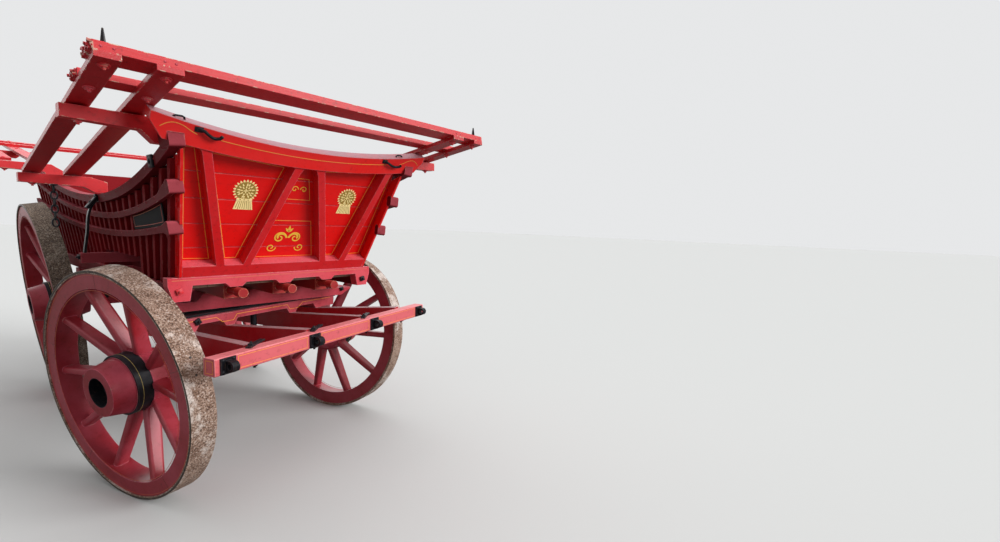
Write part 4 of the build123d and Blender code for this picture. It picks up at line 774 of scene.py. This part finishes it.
# %% [markdown]
# Inside the body a short post stands in each corner of the waist. It covers the joint
# of the waist panel and the side boards, so no light shows through.

# %% Corner posts of the waist
WAIST_ENDS = ((200, -1), (900, 1))  # y of the panel's end, and the way away from the panel
POST_WIDE, POST_DEEP, POST_HIGH, SIDE_LEAN = 0.026, 0.028, 0.134, 0.12
POST_FOOT_X, POST_FOOT_Z, POST_CLEAR = 504, 1124.5, 0.5
with fitting("waist_corner_posts", "shaded_side_deep") as work:
    for side in (-1, 1):
        lean = Matrix.Rotation(side * math.atan(SIDE_LEAN), 4, "Y")
        for y, away in WAIST_ENDS:
            foot = on_body(side * POST_FOOT_X, y + away * (POST_DEEP * 500 + POST_CLEAR), POST_FOOT_Z)
            block(work, Matrix.Translation(foot) @ lean, POST_WIDE, POST_DEEP, POST_HIGH, 0.002)

# %% [markdown]
# The tailboard is held shut by an iron pin on a short chain at each side. The pin goes
# through a staple that stands on a small plate on the board's outer face.

# %% Tailboard pins and chains
STAPLE_PLATE = (0.050, 0.070, 0.005)
STAPLE_BAR, PIN_BAR, PIN_LINK_BAR = 0.004, 0.006, 0.0025
PIN_UP, PIN_DOWN, PIN_OUT = 0.040, 0.055, 0.020  # above and below the staple, and out from the board
STAPLE_OUT, STAPLE_HALVES, PIN_HEAD = 0.014, (0.014, 0.016), 0.024
PIN_LINKS, PIN_LINK_STEP, PIN_LINK_HALVES = 5, 0.022, (0.014, 0.008)
ACROSS, STRAIGHT_UP = Vector((1, 0, 0)), Vector((0, 0, 1))
for side, hand in SIDES:
    hit, normal = touch("tailboard", on_body(side * 500, 3400, 1740), FORE)
    rise = normal.cross(ACROSS).normalized()
    rise = rise if rise.z > 0 else -rise
    pin = hit + normal * PIN_OUT
    with fitting("tail_pin_" + hand, "black_iron", "tail_gate", 60) as work:
        block(work, facing(hit - normal * 0.001, normal), *STAPLE_PLATE)
        staple = oval(hit + normal * STAPLE_OUT, normal, ACROSS, *STAPLE_HALVES)
        bent_bar(work, staple, STAPLE_BAR, 8, closed=True)
        bent_bar(work, [pin + rise * PIN_UP, pin - rise * PIN_DOWN], PIN_BAR)
        round_head(work, facing(pin + rise * PIN_UP, rise, normal), PIN_HEAD)
        hang = pin + rise * 0.034 + ACROSS * side * 0.012 + normal * 0.006
        for number in range(PIN_LINKS):
            middle = hang - STRAIGHT_UP * (0.018 + number * PIN_LINK_STEP)
            wide = ACROSS if number % 2 else normal
            link = oval(middle, STRAIGHT_UP, wide, *PIN_LINK_HALVES, steps=10)
            bent_bar(work, link, PIN_LINK_BAR, 6, closed=True)

# %% [markdown]
# On the fore-carriage, dome-headed bolts fasten each shaft-eye plate, nuts stand under
# the splinter bar where the hounds end, others stand before and behind the axle bed, and
# one large nut shows on the pillow's face.

# %% Bolts of the fore-carriage
EYE_MIDDLES, EYE_LEVEL = (252, 761), 825
EYE_CORNERS = ((-25, 27), (25, 27), (-25, -27), (25, -27))
CARRIAGE_BOLTS = [
    ("shaft_eyes", x + aside, -1000, EYE_LEVEL + up, AFT, 22, "head")
    for x in EYE_MIDDLES for aside, up in EYE_CORNERS
]
CARRIAGE_BOLTS += [("splinter_bar", x, -747, 500, UP, 26, "nut") for x in (597, 219)]
CARRIAGE_BOLTS += [("fore_axle_bed", 330, y, 640, way, 28, "nut") for y, way in ((-400, AFT), (400, FORE))]
fasten("carriage_bolts", "black_iron", CARRIAGE_BOLTS, on_carriage, "fore_carriage")
lone_nut("pillow_nut", "black_iron", "fore_pillow", (-437, -400, 885), 32, 30, on_carriage, "fore_carriage")

# %% [markdown]
# Every spindle is nailed to the three rails that cross it. The rails' sweep and the
# spindles' fan follow the same few sizes as the timbers, so each nail lands on its
# crossing: a rail's edge is two arcs that are level at its lowest point, and a spindle
# leans more the further forward it stands.

# %% Nails where rails and spindles cross
# edge's lowest, front and rear heights, y of the lowest point, half the rail's height
RAIL_SWEEPS = {
    "top_rails": (1603, 1839, 1975, 700, 24),
    "upper_mid_rails": (1491, 1652, 1815, 560, 17),
    "lower_mid_rails": (1386, 1475, 1600, 560, 17),
}
RAIL_ENDS = (-800, 2990)
SPINDLE_PITCH, SPINDLE_LEVEL, UPRIGHT_Y, FLOOR_END = 116, 1260, 750, 2860
FRONT_LEAN, TAIL_LEAN = 389 / 744, math.tan(math.radians(16))


def rail_level(rail, y):
    low, front, rear, lowest_y, half_high = RAIL_SWEEPS[rail]
    ahead = y < lowest_y
    reach = lowest_y - RAIL_ENDS[0] if ahead else RAIL_ENDS[1] - lowest_y
    rise = front - low if ahead else rear - low
    radius = (reach * reach + rise * rise) / (2 * rise)
    return low + radius - math.sqrt(radius * radius - (y - lowest_y) ** 2) - half_high


def spindle_at(level_y, z):
    if level_y < UPRIGHT_Y:
        slope = FRONT_LEAN * min(1, (UPRIGHT_Y - level_y) / 1000)
    else:
        slope = -TAIL_LEAN * (level_y - UPRIGHT_Y) / (FLOOR_END - UPRIGHT_Y)
    return level_y - (z - SPINDLE_LEVEL) * slope


for rail in RAIL_SWEEPS:
    with fitting(rail + "_nails", "shaded_side_along") as work:
        for level_y in range(-284, FLOOR_END, SPINDLE_PITCH):
            y = level_y
            for _ in range(3):
                y = spindle_at(level_y, rail_level(rail, y))
            for side in (-1, 1):
                round_head(work, facing(*from_side(rail, side, y, rail_level(rail, y))), 0.013, 1)

# %% [markdown]
# The front board shows two forged hooks near its upper corners, where a rope is made
# fast over the load. The board leans, so its points are given across it, up its slope
# and behind the front of its posts.

# %% Rope hooks on the head rail
LEAN = math.atan(FRONT_LEAN)
BOARD_FOOT_Y, BOARD_FOOT_Z = -433, 1166


def on_board(x, up, behind=0.0):
    return on_body(
        x, BOARD_FOOT_Y - up * math.sin(LEAN) + behind * math.cos(LEAN),
        BOARD_FOOT_Z + up * math.cos(LEAN) + behind * math.sin(LEAN),
    )


BOARD_FACE = heading(on_board, 0, 0, -1)
UP_THE_BOARD = heading(on_board, 0, 1, 0)
ROPE_HOOKS = (
    ((-556, 786, -6), (-552, 787, -16), (-538, 786, -24), (-522, 773, -26), (-506, 763, -26),
     (-490, 760, -26), (-476, 765, -30), (-468, 778, -34)),
    ((446, 769, -6), (450, 770, -16), (464, 766, -24), (482, 757, -26), (502, 751, -26),
     (524, 750, -26), (544, 756, -30), (554, 768, -34)),
)
HOOK_BAR, HOOK_PLATE, RAIL_FRONT = 0.0075, (0.034, 0.024, 0.005), -7.5
for number, path in enumerate(ROPE_HOOKS, 1):
    root_x, root_up, _ = path[0]
    with fitting(f"rope_hook_{number}", "black_iron", smooth=60) as work:
        bent_bar(work, [on_board(*point) for point in path], HOOK_BAR)
        block(work, facing(on_board(root_x, root_up, RAIL_FRONT), BOARD_FACE), *HOOK_PLATE)

# %% [markdown]
# An iron spike stands up at each end of the foremost bar of the harvest frame and keeps
# the outermost sheaves from sliding off. Each is a four-sided cone, flattened like a
# tent peg.

# %% Spikes of the harvest frame
SPIKE_X, SPIKE_Y, SPIKE_SUNK = 926, -1075, 0.001
SPIKE_RADIUS, SPIKE_HIGH, SPIKE_TAPER = 0.017, 0.062, 5 / 17
for side, hand in SIDES:
    foot, _ = from_above("front_harvest_bars", on_body, side * SPIKE_X, SPIKE_Y)
    stand = Matrix.Translation(foot - STRAIGHT_UP * SPIKE_SUNK) @ Matrix.Diagonal((0.6, 1, 1, 1))
    with fitting("spike_" + hand, "black_iron") as work:
        round_end(work, stand, SPIKE_RADIUS, SPIKE_HIGH, 4, SPIKE_TAPER)

# %% [markdown]
# The left ends of the two front bars are broken. Torn grain stands out of the end faces
# in short splinters of uneven length, which follow a fixed rule and not a random draw.

# %% Torn ends of the front bars
TORN_BARS = ((-1066, 0.104, 0.029), (-836, 0.074, 0.023))  # y of the bar, width and height of the tear
SPLINTER_APART, SPLINTER_LAYERS = 0.0105, 0.0085
SPLINTER_RADIUS, SPLINTER_SHORT, SPLINTER_MORE, SPLINTER_BEND = 0.0072, 0.005, 0.015, 13
with fitting("torn_bar_ends", "frame_along", smooth=40) as work:
    for y, torn_wide, torn_high in TORN_BARS:
        top, lean = from_above("front_harvest_bars", on_body, -960, y)
        hit, outwards = touch("front_harvest_bars", top + Vector((-0.2, 0, -0.015)), (1, 0, 0))
        face = facing(hit, outwards, lean)
        columns, layers = round(torn_wide / SPLINTER_APART), round(torn_high / SPLINTER_LAYERS)
        for step in range(columns * layers):
            column, layer = step % columns, step // columns
            uneven = math.sin(step * 2.399 + y) * 0.5 + 0.5
            long = SPLINTER_SHORT + SPLINTER_MORE * uneven * (0.6 + 0.4 * layer / layers)
            aside = ((column + 0.5) / columns - 0.5) * torn_wide
            rise = ((layer + 0.5) / layers - 0.5) * torn_high
            bend = math.radians(SPLINTER_BEND * math.sin(step * 1.7))
            bent = Matrix.Rotation(bend, 4, "X" if step % 2 else "Y")
            place = face @ Matrix.Translation((aside, rise, -0.002)) @ bent
            round_end(work, place, SPLINTER_RADIUS, long, 5, 0.75)

# %% [markdown]
# A short chain hangs under the rear arm of the front frame at each side, for tying the
# load down. A link is one closed ring of bar, and every second one is turned a quarter,
# as links hang.

# %% Hanging chains
LINKS, LINK_LONG, LINK_WIDE, LINK_BAR = 6, 0.058, 0.038, 0.0045
CHAIN_X, CHAIN_Y, CHAIN_PLATE, FORE_AND_AFT = 838, 641, (0.030, 0.070, 0.008), Vector((0, 1, 0))
for side, hand in SIDES:
    hang, _ = touch("front_harvest_arms", on_body(side * CHAIN_X, CHAIN_Y, UNDER_ARMS), UP)
    strap = Matrix.Translation(hang + STRAIGHT_UP * 0.002) @ Matrix.Rotation(math.pi, 4, "X")
    with fitting("chain_" + hand, "black_iron", smooth=60) as work:
        block(work, strap, *CHAIN_PLATE)
        for number in range(LINKS):
            middle = hang - STRAIGHT_UP * (0.024 + number * (LINK_LONG - LINK_BAR * 4))
            wide = ACROSS if number % 2 else FORE_AND_AFT
            link = oval(middle, STRAIGHT_UP, wide, LINK_LONG / 2 - LINK_BAR, LINK_WIDE / 2 - LINK_BAR, 14)
            bent_bar(work, link, LINK_BAR, 8, closed=True)

# %% [markdown]
# Two more irons sit on each side: a flat strap on the outside of the top rail near the
# front arm, and a small bracket that holds the head of the bowed stay. One round head
# holds each. Little staples stand on the head rail for the ropes.

# %% Straps, brackets and staples
STRAP_Y, BRACKET_Y, BRACKET_Z = -500, 670, 1540
# where it lies, its width, height and depth, how soft its edges are, how deep it is let in, its bolt
RAIL_IRONS = (
    ("top_rails", STRAP_Y, rail_level("top_rails", STRAP_Y), (0.064, 0.060, 0.012, 0.004), 0.002, 0.026),
    ("side_stays", BRACKET_Y, BRACKET_Z, (0.052, 0.086, 0.018, 0.005), 0.004, 0.024),
)
for side, hand in SIDES:
    with fitting("rail_irons_" + hand, "black_iron") as work:
        for node, y, z, sizes, let_in, bolt in RAIL_IRONS:
            outer, outwards = from_side(node, side, y, z)
            block(work, facing(outer - outwards * let_in, outwards), *sizes)
            head_out = sizes[2] - let_in - 0.001
            round_head(work, facing(outer + outwards * head_out, outwards), bolt)
HALF_STAPLE = ((0.012, 0.009), (0.020, 0.005), (0.022, -0.004))
STAPLE = [(-aside, up) for aside, up in reversed(HALF_STAPLE)] + list(HALF_STAPLE)
STAPLE_PLACES, ROPE_STAPLE_BAR = (-628, 560), 0.0045
with fitting("head_rail_staples", "black_iron", smooth=60) as work:
    for x in STAPLE_PLACES:
        foot, _ = touch("head_rail", on_board(x, 900, 20), heading(on_board, 0, -1, 0))
        loop = [foot + ACROSS * aside + UP_THE_BOARD * up for aside, up in STAPLE]
        bent_bar(work, loop, ROPE_STAPLE_BAR, 8)

# %% [markdown]
# Fine yellow lines were drawn by hand with a long-haired brush, a hand's breadth inside
# each panel's edge. They could be painted by a material, but as thin raised ribbons they
# keep a crisp edge at any distance and follow the slope of the boards exactly. Corners
# of every panel stand in a table, and the outer two are mirrored to the other half.

# %% Lines on the front board
PLANK_FACE = 63.8
LINE_THICK = 0.0008
LINE_WIDE = 0.0034
OUTER_PANEL = ((-518, 76), (-398, 72), (-540, 676), (-580, 676))
SHEAF_PANEL = ((-320, 72), (-266, 72), (-113, 628), (-465, 660))
MIDDLE_TOP = ((-77, 445), (77, 445), (42, 573), (-42, 573))
MIDDLE_LOW = ((-180, 72), (180, 72), (118, 309), (-118, 309))
PANELS = [(corners, side) for corners in (OUTER_PANEL, SHEAF_PANEL) for side in (1, -1)]
with fitting("panel_lines", "line_yellow") as work:
    for corners, side in PANELS + [(MIDDLE_TOP, 1), (MIDDLE_LOW, 1)]:
        path = [on_board(side * x, up, PLANK_FACE) for x, up in corners]
        ribbon(work, path, LINE_WIDE, LINE_THICK, BOARD_FACE, closed=True)

# %% [markdown]
# The dark plate between the side's middle rails is left blank, and only a thin border
# is drawn inside its edge. It follows the sweep of both rails, so its points are taken
# below the upper one and above the lower one.

# %% Border of the side plate
PLATE_ENDS, BORDER_IN, BORDER_WIDE = (-440, 50), 30, 0.0026
border_ys = [PLATE_ENDS[0] + (PLATE_ENDS[1] - PLATE_ENDS[0]) * step / 6 for step in range(7)]
border = [(y, rail_level("upper_mid_rails", y) - BORDER_IN) for y in border_ys]
border += [(y, rail_level("lower_mid_rails", y) + BORDER_IN) for y in reversed(border_ys)]
for side, hand in SIDES:
    points = [from_side("side_plate", side, y, z) for y, z in border]
    with fitting("plate_border_" + hand, "line_worn") as work:
        path, outwards = [point for point, _ in points], points[-1][1]
        ribbon(work, path, BORDER_WIDE, LINE_THICK, outwards, closed=True)

# %% [markdown]
# The head rail has one long line that follows its hollow upper edge and ends in a
# painter's scroll at each side. The line is smoothed by a spline through a few chosen
# points, which is how a signwriter's wrist moves.

# %% Scrolled line on the head rail
def smooth_path(points, steps=6):
    path = []
    for number in range(len(points) - 1):
        a, b, c, d = (points[min(max(number + offset, 0), len(points) - 1)] for offset in (-1, 0, 1, 2))
        for step in range(steps):
            t = step / steps
            bend = (a * 2 - b * 5 + c * 4 - d) * t**2 + (b * 3 - a - c * 3 + d) * t**3
            path.append((b * 2 + (c - a) * t + bend) / 2)
    return path + [points[-1]]


RAIL_FACE = -8.2
RAIL_SCROLL = ((-700, 776), (-676, 794), (-649, 801), (-617, 793), (-588, 776), (-560, 762))
RAIL_HOLLOW = [(x, 757 + 79 * (x / 736) ** 2 - 38) for x in range(-462, 463, 66)]
with fitting("head_rail_lines", "line_yellow") as work:
    for points in (RAIL_SCROLL, RAIL_HOLLOW, [(-x, up) for x, up in reversed(RAIL_SCROLL)]):
        path = [on_board(x, up, RAIL_FACE) for x, up in smooth_path([Vector(point) for point in points])]
        ribbon(work, path, LINE_WIDE, LINE_THICK, BOARD_FACE)

# %% [markdown]
# The sill, the pillow and the splinter bar are lined too. The pillow's line dips into
# the two bosses that rest on the inner hounds, and the splinter bar has a long box
# between each pair of irons and a small one on its end.

# %% Lines on the sill and the fore-carriage
SILL_FACE, PILLOW_FACE, BAR_FACE, BAR_END = -432.8, -94.8, -782.8, 821.8
PILLOW_HALF = ((190, 890), (212, 857), (284, 857), (322, 890), (590, 890))
PILLOW_LINE = [(-x, z) for x, z in reversed(PILLOW_HALF)] + list(PILLOW_HALF)
BAR_BOXES = ((-708, -304), (-200, 200), (304, 708))
BOX_FOOT, BOX_TOP, BAR_END_BOX = 797, 853, (-770, -724)
SILL_LINE_ENDS, SILL_LINE_UP = (-574, 574), 1152
FINE_LINE, PILLOW_LINE_WIDE, BOX_LINE = 0.0028, 0.0032, 0.0024
with fitting("sill_line", "line_worn") as work:
    path = [on_body(x, SILL_FACE, SILL_LINE_UP) for x in SILL_LINE_ENDS]
    ribbon(work, path, FINE_LINE, LINE_THICK, FORE)


def box(low, high):
    return (low, BOX_FOOT), (high, BOX_FOOT), (high, BOX_TOP), (low, BOX_TOP)


with fitting("carriage_lines", "line_yellow", "fore_carriage") as work:
    forward = heading(on_carriage, 0, -1, 0)
    path = [on_carriage(x, PILLOW_FACE, z) for x, z in PILLOW_LINE]
    ribbon(work, path, PILLOW_LINE_WIDE, LINE_THICK, forward)
    for left, right in BAR_BOXES:
        path = [on_carriage(x, BAR_FACE, z) for x, z in box(left, right)]
        ribbon(work, path, BOX_LINE, LINE_THICK, forward, closed=True)
    for side in (-1, 1):
        path = [on_carriage(side * BAR_END, y, z) for y, z in box(*BAR_END_BOX)]
        ribbon(work, path, FINE_LINE, LINE_THICK, heading(on_carriage, side, 0, 0), closed=True)

# %% [markdown]
# Each wheel has a fine line near the outer edge of its rim and another near the inner edge. Outside them the
# edge of the iron tyre is painted black, partly as dirt and partly as painted shade on the tyre's side face.
# The rim's face is found by ray casting, as the wheels of the two axles differ in size.

# %% Rings on the wheels
RIMS = {"front": 610, "hind": 771.5}
RIM_IN, TYRE_IN, LINES_IN, TYRE_EDGE_IN = 40, 8, (30, 106), (16.6, 6)
PROBE_TURN, PROBE_OUT = 0.26, 0.3


def face_along(wheel, part, out):
    centre, axle, high = wheel_axes(wheel)
    away = high * math.cos(PROBE_TURN) + high.cross(axle) * math.sin(PROBE_TURN)
    face, _ = touch(f"{wheel}_{part}", centre + away * out / 1000 + axle * PROBE_OUT, -axle)
    return (face - centre).dot(axle) * 1000


for wheel in WHEELS:
    radius = RIMS[wheel.split("_")[0]]
    rim, tyre = face_along(wheel, "wheel", radius - RIM_IN), face_along(wheel, "tyre", radius - TYRE_IN)
    with on_wheel(wheel, "rim_lines", "line_worn") as work:
        for line_in in LINES_IN:
            turned(work, wheel, band(rim - 0.3, rim + 0.5, radius - line_in - 1, radius - line_in + 1), 96)
    # a black ring on the tyre's side face: dirt, and painted shade
    with on_wheel(wheel, "tyre_edge_dirt_and_shade", "tyre_edge_dirt_and_shade") as work:
        inner, outer = (radius - edge_in for edge_in in TYRE_EDGE_IN)
        turned(work, wheel, band(tyre - 2, tyre + 0.5, inner, outer), 96)

# %% [markdown]
# A rim is made of felloes, curved blocks that each take two spokes. Where two meet, a
# fine dark joint crosses the face and the inside of the rim. The tyre was shrunk on hot
# and then held by a countersunk bolt on each side of every joint, except where the
# wheel stands on it, which would lift the wheel.

# %% Felloe joints and tyre bolts
SPOKES = {"front": 10, "hind": 12}
BOLT_ASIDE, KEEP_OFF, GROUND_ANGLE = math.radians(4), math.radians(14), math.tau * 3 / 4
JOINT_WIDE, JOINT_THICK, FACE_IN, INSIDE_IN, INSIDE_DEPTHS = 0.0014, 0.0004, (18, 96), 97.6, (4, 100)
TYRE_MIDDLE, BOLT_SUNK, BOLT_ACROSS = 52, 0.0036, 0.018
for wheel in WHEELS:
    end = wheel.split("_")[0]
    centre, axle, high = wheel_axes(wheel)
    back = heading(on_carriage if end == "front" else on_body, 0, 1, 0)
    radius, rim = RIMS[end], face_along(wheel, "wheel", RIMS[end] - RIM_IN)
    with (
        on_wheel(wheel, "tyre_bolts", "tyre_edge_dirt_and_shade") as bolts,
        on_wheel(wheel, "felloe_joints", "tyre_edge_dirt_and_shade") as work,
    ):
        for number in range(SPOKES[end] // 2):
            angle = math.tau * (2 * number + 0.5) / SPOKES[end]
            away = back * math.cos(angle) + high * math.sin(angle)
            face_joint = [(rim, radius - inwards) for inwards in FACE_IN]
            inner_joint = [(rim - depth, radius - INSIDE_IN) for depth in INSIDE_DEPTHS]
            for joint, outwards in ((face_joint, axle), (inner_joint, -away)):
                path = [centre + (axle * along + away * out) / 1000 for along, out in joint]
                ribbon(work, path, JOINT_WIDE, JOINT_THICK, outwards)
            for bolt_angle in (angle - BOLT_ASIDE, angle + BOLT_ASIDE):
                if abs(bolt_angle - GROUND_ANGLE) < KEEP_OFF:
                    continue
                away = back * math.cos(bolt_angle) + high * math.sin(bolt_angle)
                hit, normal = touch(wheel + "_tyre", centre + axle * (rim - TYRE_MIDDLE) / 1000 + away, -away)
                round_head(bolts, facing(hit - normal * BOLT_SUNK, normal, axle), BOLT_ACROSS)

# %% [markdown]
# A wheatsheaf, the common sign of a corn-growing farm, is painted on each side of the
# board. A ring of pointed ears stands out round a dark disc, and more pale ears lie on
# the disc, so that the head looks full. A band ties the straw, which spreads below in a
# skirt with fine dark strokes between its stalks.

# %% Helpers for the wheatsheaves
for name, colour in (("sheaf_cream", (250, 230, 160)), ("sheaf_gold", (236, 190, 66)),
                     ("sheaf_dark", (156, 128, 58))):
    make_painted(name, colour, colour, NO_GRAIN, (0.0, 0.0, 0.0, 0.0, 0.25), (150, 110, 60), **LINE_COAT)


STROKE_THICK = 0.0005


def painted_at(x, up):
    return facing(on_board(x, up, PLANK_FACE), BOARD_FACE, UP_THE_BOARD)


def flat_shape(work, place, corners, thick):
    face = work.faces.new([work.verts.new(place @ Vector((x / 1000, y / 1000, 0))) for x, y in corners])
    raise_faces(work, [face], place.to_3x3() @ Vector((0, 0, thick)))


def ear(work, head, ringed, angle, half, length, lift):
    outwards = Matrix.Rotation(-angle, 4, "Z") @ Matrix.Translation((0, ringed / 1000, lift))
    shape = [(-half, -length / 2), (half, -length / 2), (half * 0.9, length / 6), (0, length / 2),
             (-half * 0.9, length / 6)]
    flat_shape(work, head @ outwards, shape, STROKE_THICK)


print("an ear is a flat shape with a pointed tip")

# %% [markdown]
# The shapes lie on each other like strokes of a brush: skirt, disc and band, and then
# ears, each a little higher than the one below. The inner ears are turned unevenly by
# a fixed random draw, so both sheaves are alike.

# %% Wheatsheaves
SHEAVES = (("left", -280), ("right", 313))
SHEAF_UP, DISC_RADIUS, STALKS, STALK_STEP = 476, 50, 8, 11
SKIRT_LIFT, DISC_LIFT, TIE_LIFT = 0.0008, 0.0011, 0.0020
STROKE_LIFT, EAR_LIFT, MARK_LIFT = 0.0007, 0.0012, 0.0019
SKIRT = [(-34, -40), (-47, -107), (51, -108), (36, -40)]
TIE = [(-38, -56), (-39, -44), (40, -44), (39, -56)]
TIE_MARK = [(-5, -50), (0, -53), (5, -50), (0, -47)]
DISC_ANGLES = [math.tau * step / 32 for step in range(32)]
DISC = [(DISC_RADIUS * math.sin(angle), DISC_RADIUS * math.cos(angle)) for angle in DISC_ANGLES]
# distance of a ring of ears from the middle, how many ears, half width and length of an ear
OUTER_RING = (54, 22, 5.4, 20)
EAR_RINGS = ((8, 4, 3.0, 14), (23, 9, 3.2, 14), (37, 14, 3.6, 15))
for label, x in SHEAVES:
    head = painted_at(x, SHEAF_UP)
    straws = random.Random(7)
    with fitting(f"sheaf_{label}", "sheaf_cream") as work:
        ringed, count, half, length = OUTER_RING
        for number in range(count):
            ear(work, head, ringed, math.tau * number / count, half, length, 0.0)
        flat_shape(work, head, SKIRT, SKIRT_LIFT)
        flat_shape(work, head, TIE, TIE_LIFT)
        for ringed, count, half, length in EAR_RINGS:
            for number in range(count):
                angle = math.tau * number / count + straws.uniform(-0.12, 0.12)
                ear(work, head, ringed, angle, half, length, EAR_LIFT)
    with fitting(f"sheaf_strokes_{label}", "sheaf_dark") as work:
        flat_shape(work, head, DISC, DISC_LIFT)
        for number in range(STALKS):
            foot = -38 + number * STALK_STEP
            tip = straws.uniform(-8, 4) - 101
            stalk = [(foot * 0.74, -58), (foot * 0.74 + 2.4, -58), (foot + 3.4, tip), (foot + 0.6, tip)]
            flat_shape(work, head @ Matrix.Translation((0, 0, STROKE_LIFT)), stalk, STROKE_THICK)
        for aside in (-0.020, 0, 0.020):
            flat_shape(work, head @ Matrix.Translation((aside, 0, MARK_LIFT)), TIE_MARK, STROKE_THICK)

# %% [markdown]
# The middle panel carries plain painter's scrolls in gold, C-shaped curls in pairs that
# meet at a leaf. A curl is a ribbon along a spiral. It gets narrower in real brushwork,
# so a second, shorter ribbon inside thickens its back.

# %% Gold scrolls in the middle panel
TIGHTENS = 0.82


def curl(x, up, side, turned_by, reach, turns=1.25, steps=26):
    points = []
    for step in range(steps + 1):
        share = step / steps
        angle = turned_by + side * math.tau * turns * share
        radius = reach * (1 - TIGHTENS * share)
        points.append(on_board(x + radius * math.cos(angle), up + radius * math.sin(angle), PLANK_FACE))
    return points


# middle of the curl across and up, 1 if it winds outwards, reach, turns, width and thickness
CURLS = (
    (46, 196, -1, 40, 1.25, 0.0075, 0.0010),
    (46, 196, -1, 40, 0.55, 0.0120, 0.0012),
    (84, 132, 1, 28, 1.25, 0.0060, 0.0010),
    (26, 508, -1, 20, 1.1, 0.0048, 0.0010),
)
LEAF_UP, LEAF_THICK = 236, 0.0012
LEAF_BLADES = ((0.0, 44), (0.75, 34), (-0.75, 34))  # how far it leans, and its length
with fitting("middle_scrolls", "sheaf_gold") as work:
    for side in (-1, 1):
        start = 0.0 if side < 0 else math.pi
        for x, up, winds, reach, turns, wide, thick in CURLS:
            ribbon(work, curl(side * x, up, side * winds, start, reach, turns), wide, thick, BOARD_FACE)
    for leaning, length in LEAF_BLADES:
        spot = painted_at(0, LEAF_UP) @ Matrix.Rotation(leaning, 4, "Z")
        blade = [(-6, 6), (0, -4), (6, 6), (7, length * 0.5), (0, length), (-7, length * 0.5)]
        flat_shape(work, spot, blade, LEAF_THICK)

# %% [markdown]
# The floor is a pale plain sheet. The camera sees it paler than the light does, so that
# it throws less light up under the wagon.

# %% Floor
FLOOR_HALF, FLOOR_GREY, FLOOR_SEEN = 60.0, paint(132, 132, 132), paint(206, 207, 206)
floor_mesh = bpy.data.meshes.new("shed_floor")
floor_work = bmesh.new()
bmesh.ops.create_grid(floor_work, x_segments=1, y_segments=1, size=FLOOR_HALF)
floor_work.to_mesh(floor_mesh)
floor_work.free()
shed_floor = put_in_scene("shed_floor", floor_mesh)
floor_material = bpy.data.materials.new("pale_floor")
floor_material.use_nodes = True
floor_rays = add_node(floor_material.node_tree, "LightPath").outputs
fill(floor_material.node_tree.nodes["Principled BSDF"], {
    "Base Color": mix_colour(floor_rays["Is Camera Ray"], FLOOR_GREY, FLOOR_SEEN),
    "Roughness": 0.9, "Specular IOR Level": 0.0,
})
floor_mesh.materials.append(floor_material)
print("floor", FLOOR_HALF * 2, "m across")

# %% [markdown]
# Daylight falls through one open side of a shed. Four sun lamps with wide angles throw
# soft shadows, the strongest from that side. The world is nearly white only where the
# camera, a reflection or glass looks at it. For lighting it is a much dimmer glow, which
# grows from one side to the other, so that paint keeps its colour.

# %% World and lamps
SKY_WHITE, SKY_SEEN, GLOW_RANGE = paint(236, 237, 238), 0.95, (0.24, 0.5)
world = bpy.data.worlds.new("shed_sky")
world.use_nodes = True
bpy.context.scene.world = world
rays = add_node(world.node_tree, "LightPath").outputs
mirrored = combine("MAXIMUM", rays["Is Camera Ray"], rays["Is Glossy Ray"])
seen = combine("MAXIMUM", mirrored, rays["Is Transmission Ray"])
sky_way = add_node(world.node_tree, "TexCoord").outputs["Generated"]
sideways = add_node(world.node_tree, "SeparateXYZ", {0: sky_way}).outputs["X"]
glow = between(sideways, -0.9, 0.9, *GLOW_RANGE)
sky_strength = add_node(world.node_tree, "Mix", {0: seen, 2: glow, 3: SKY_SEEN}, data_type="FLOAT")
fill(world.node_tree.nodes["Background"], {"Color": SKY_WHITE, "Strength": sky_strength.outputs[0]})

# name, direction it comes from, width in degrees, strength
LAMPS = (
    ("open_side", (3.4, -6.2, 2.6), 30, 3.0),
    ("roof_glow", (1.5, -0.5, 6.0), 70, 1.2),
    ("near_fill", (-5.0, -4.0, 2.0), 80, 0.4),
    ("back_fill", (1.0, 6.0, 3.0), 80, 1.3),
)
for lamp_name, stand, wide, strength in LAMPS:
    lamp_data = bpy.data.lights.new(lamp_name, "SUN")
    lamp_data.angle = math.radians(wide)
    lamp_data.energy = strength
    lamp = put_in_scene(lamp_name, lamp_data)
    lamp.rotation_euler = (-Vector(stand)).to_track_quat("-Z", "Y").to_euler()
print("lamps", len(LAMPS))
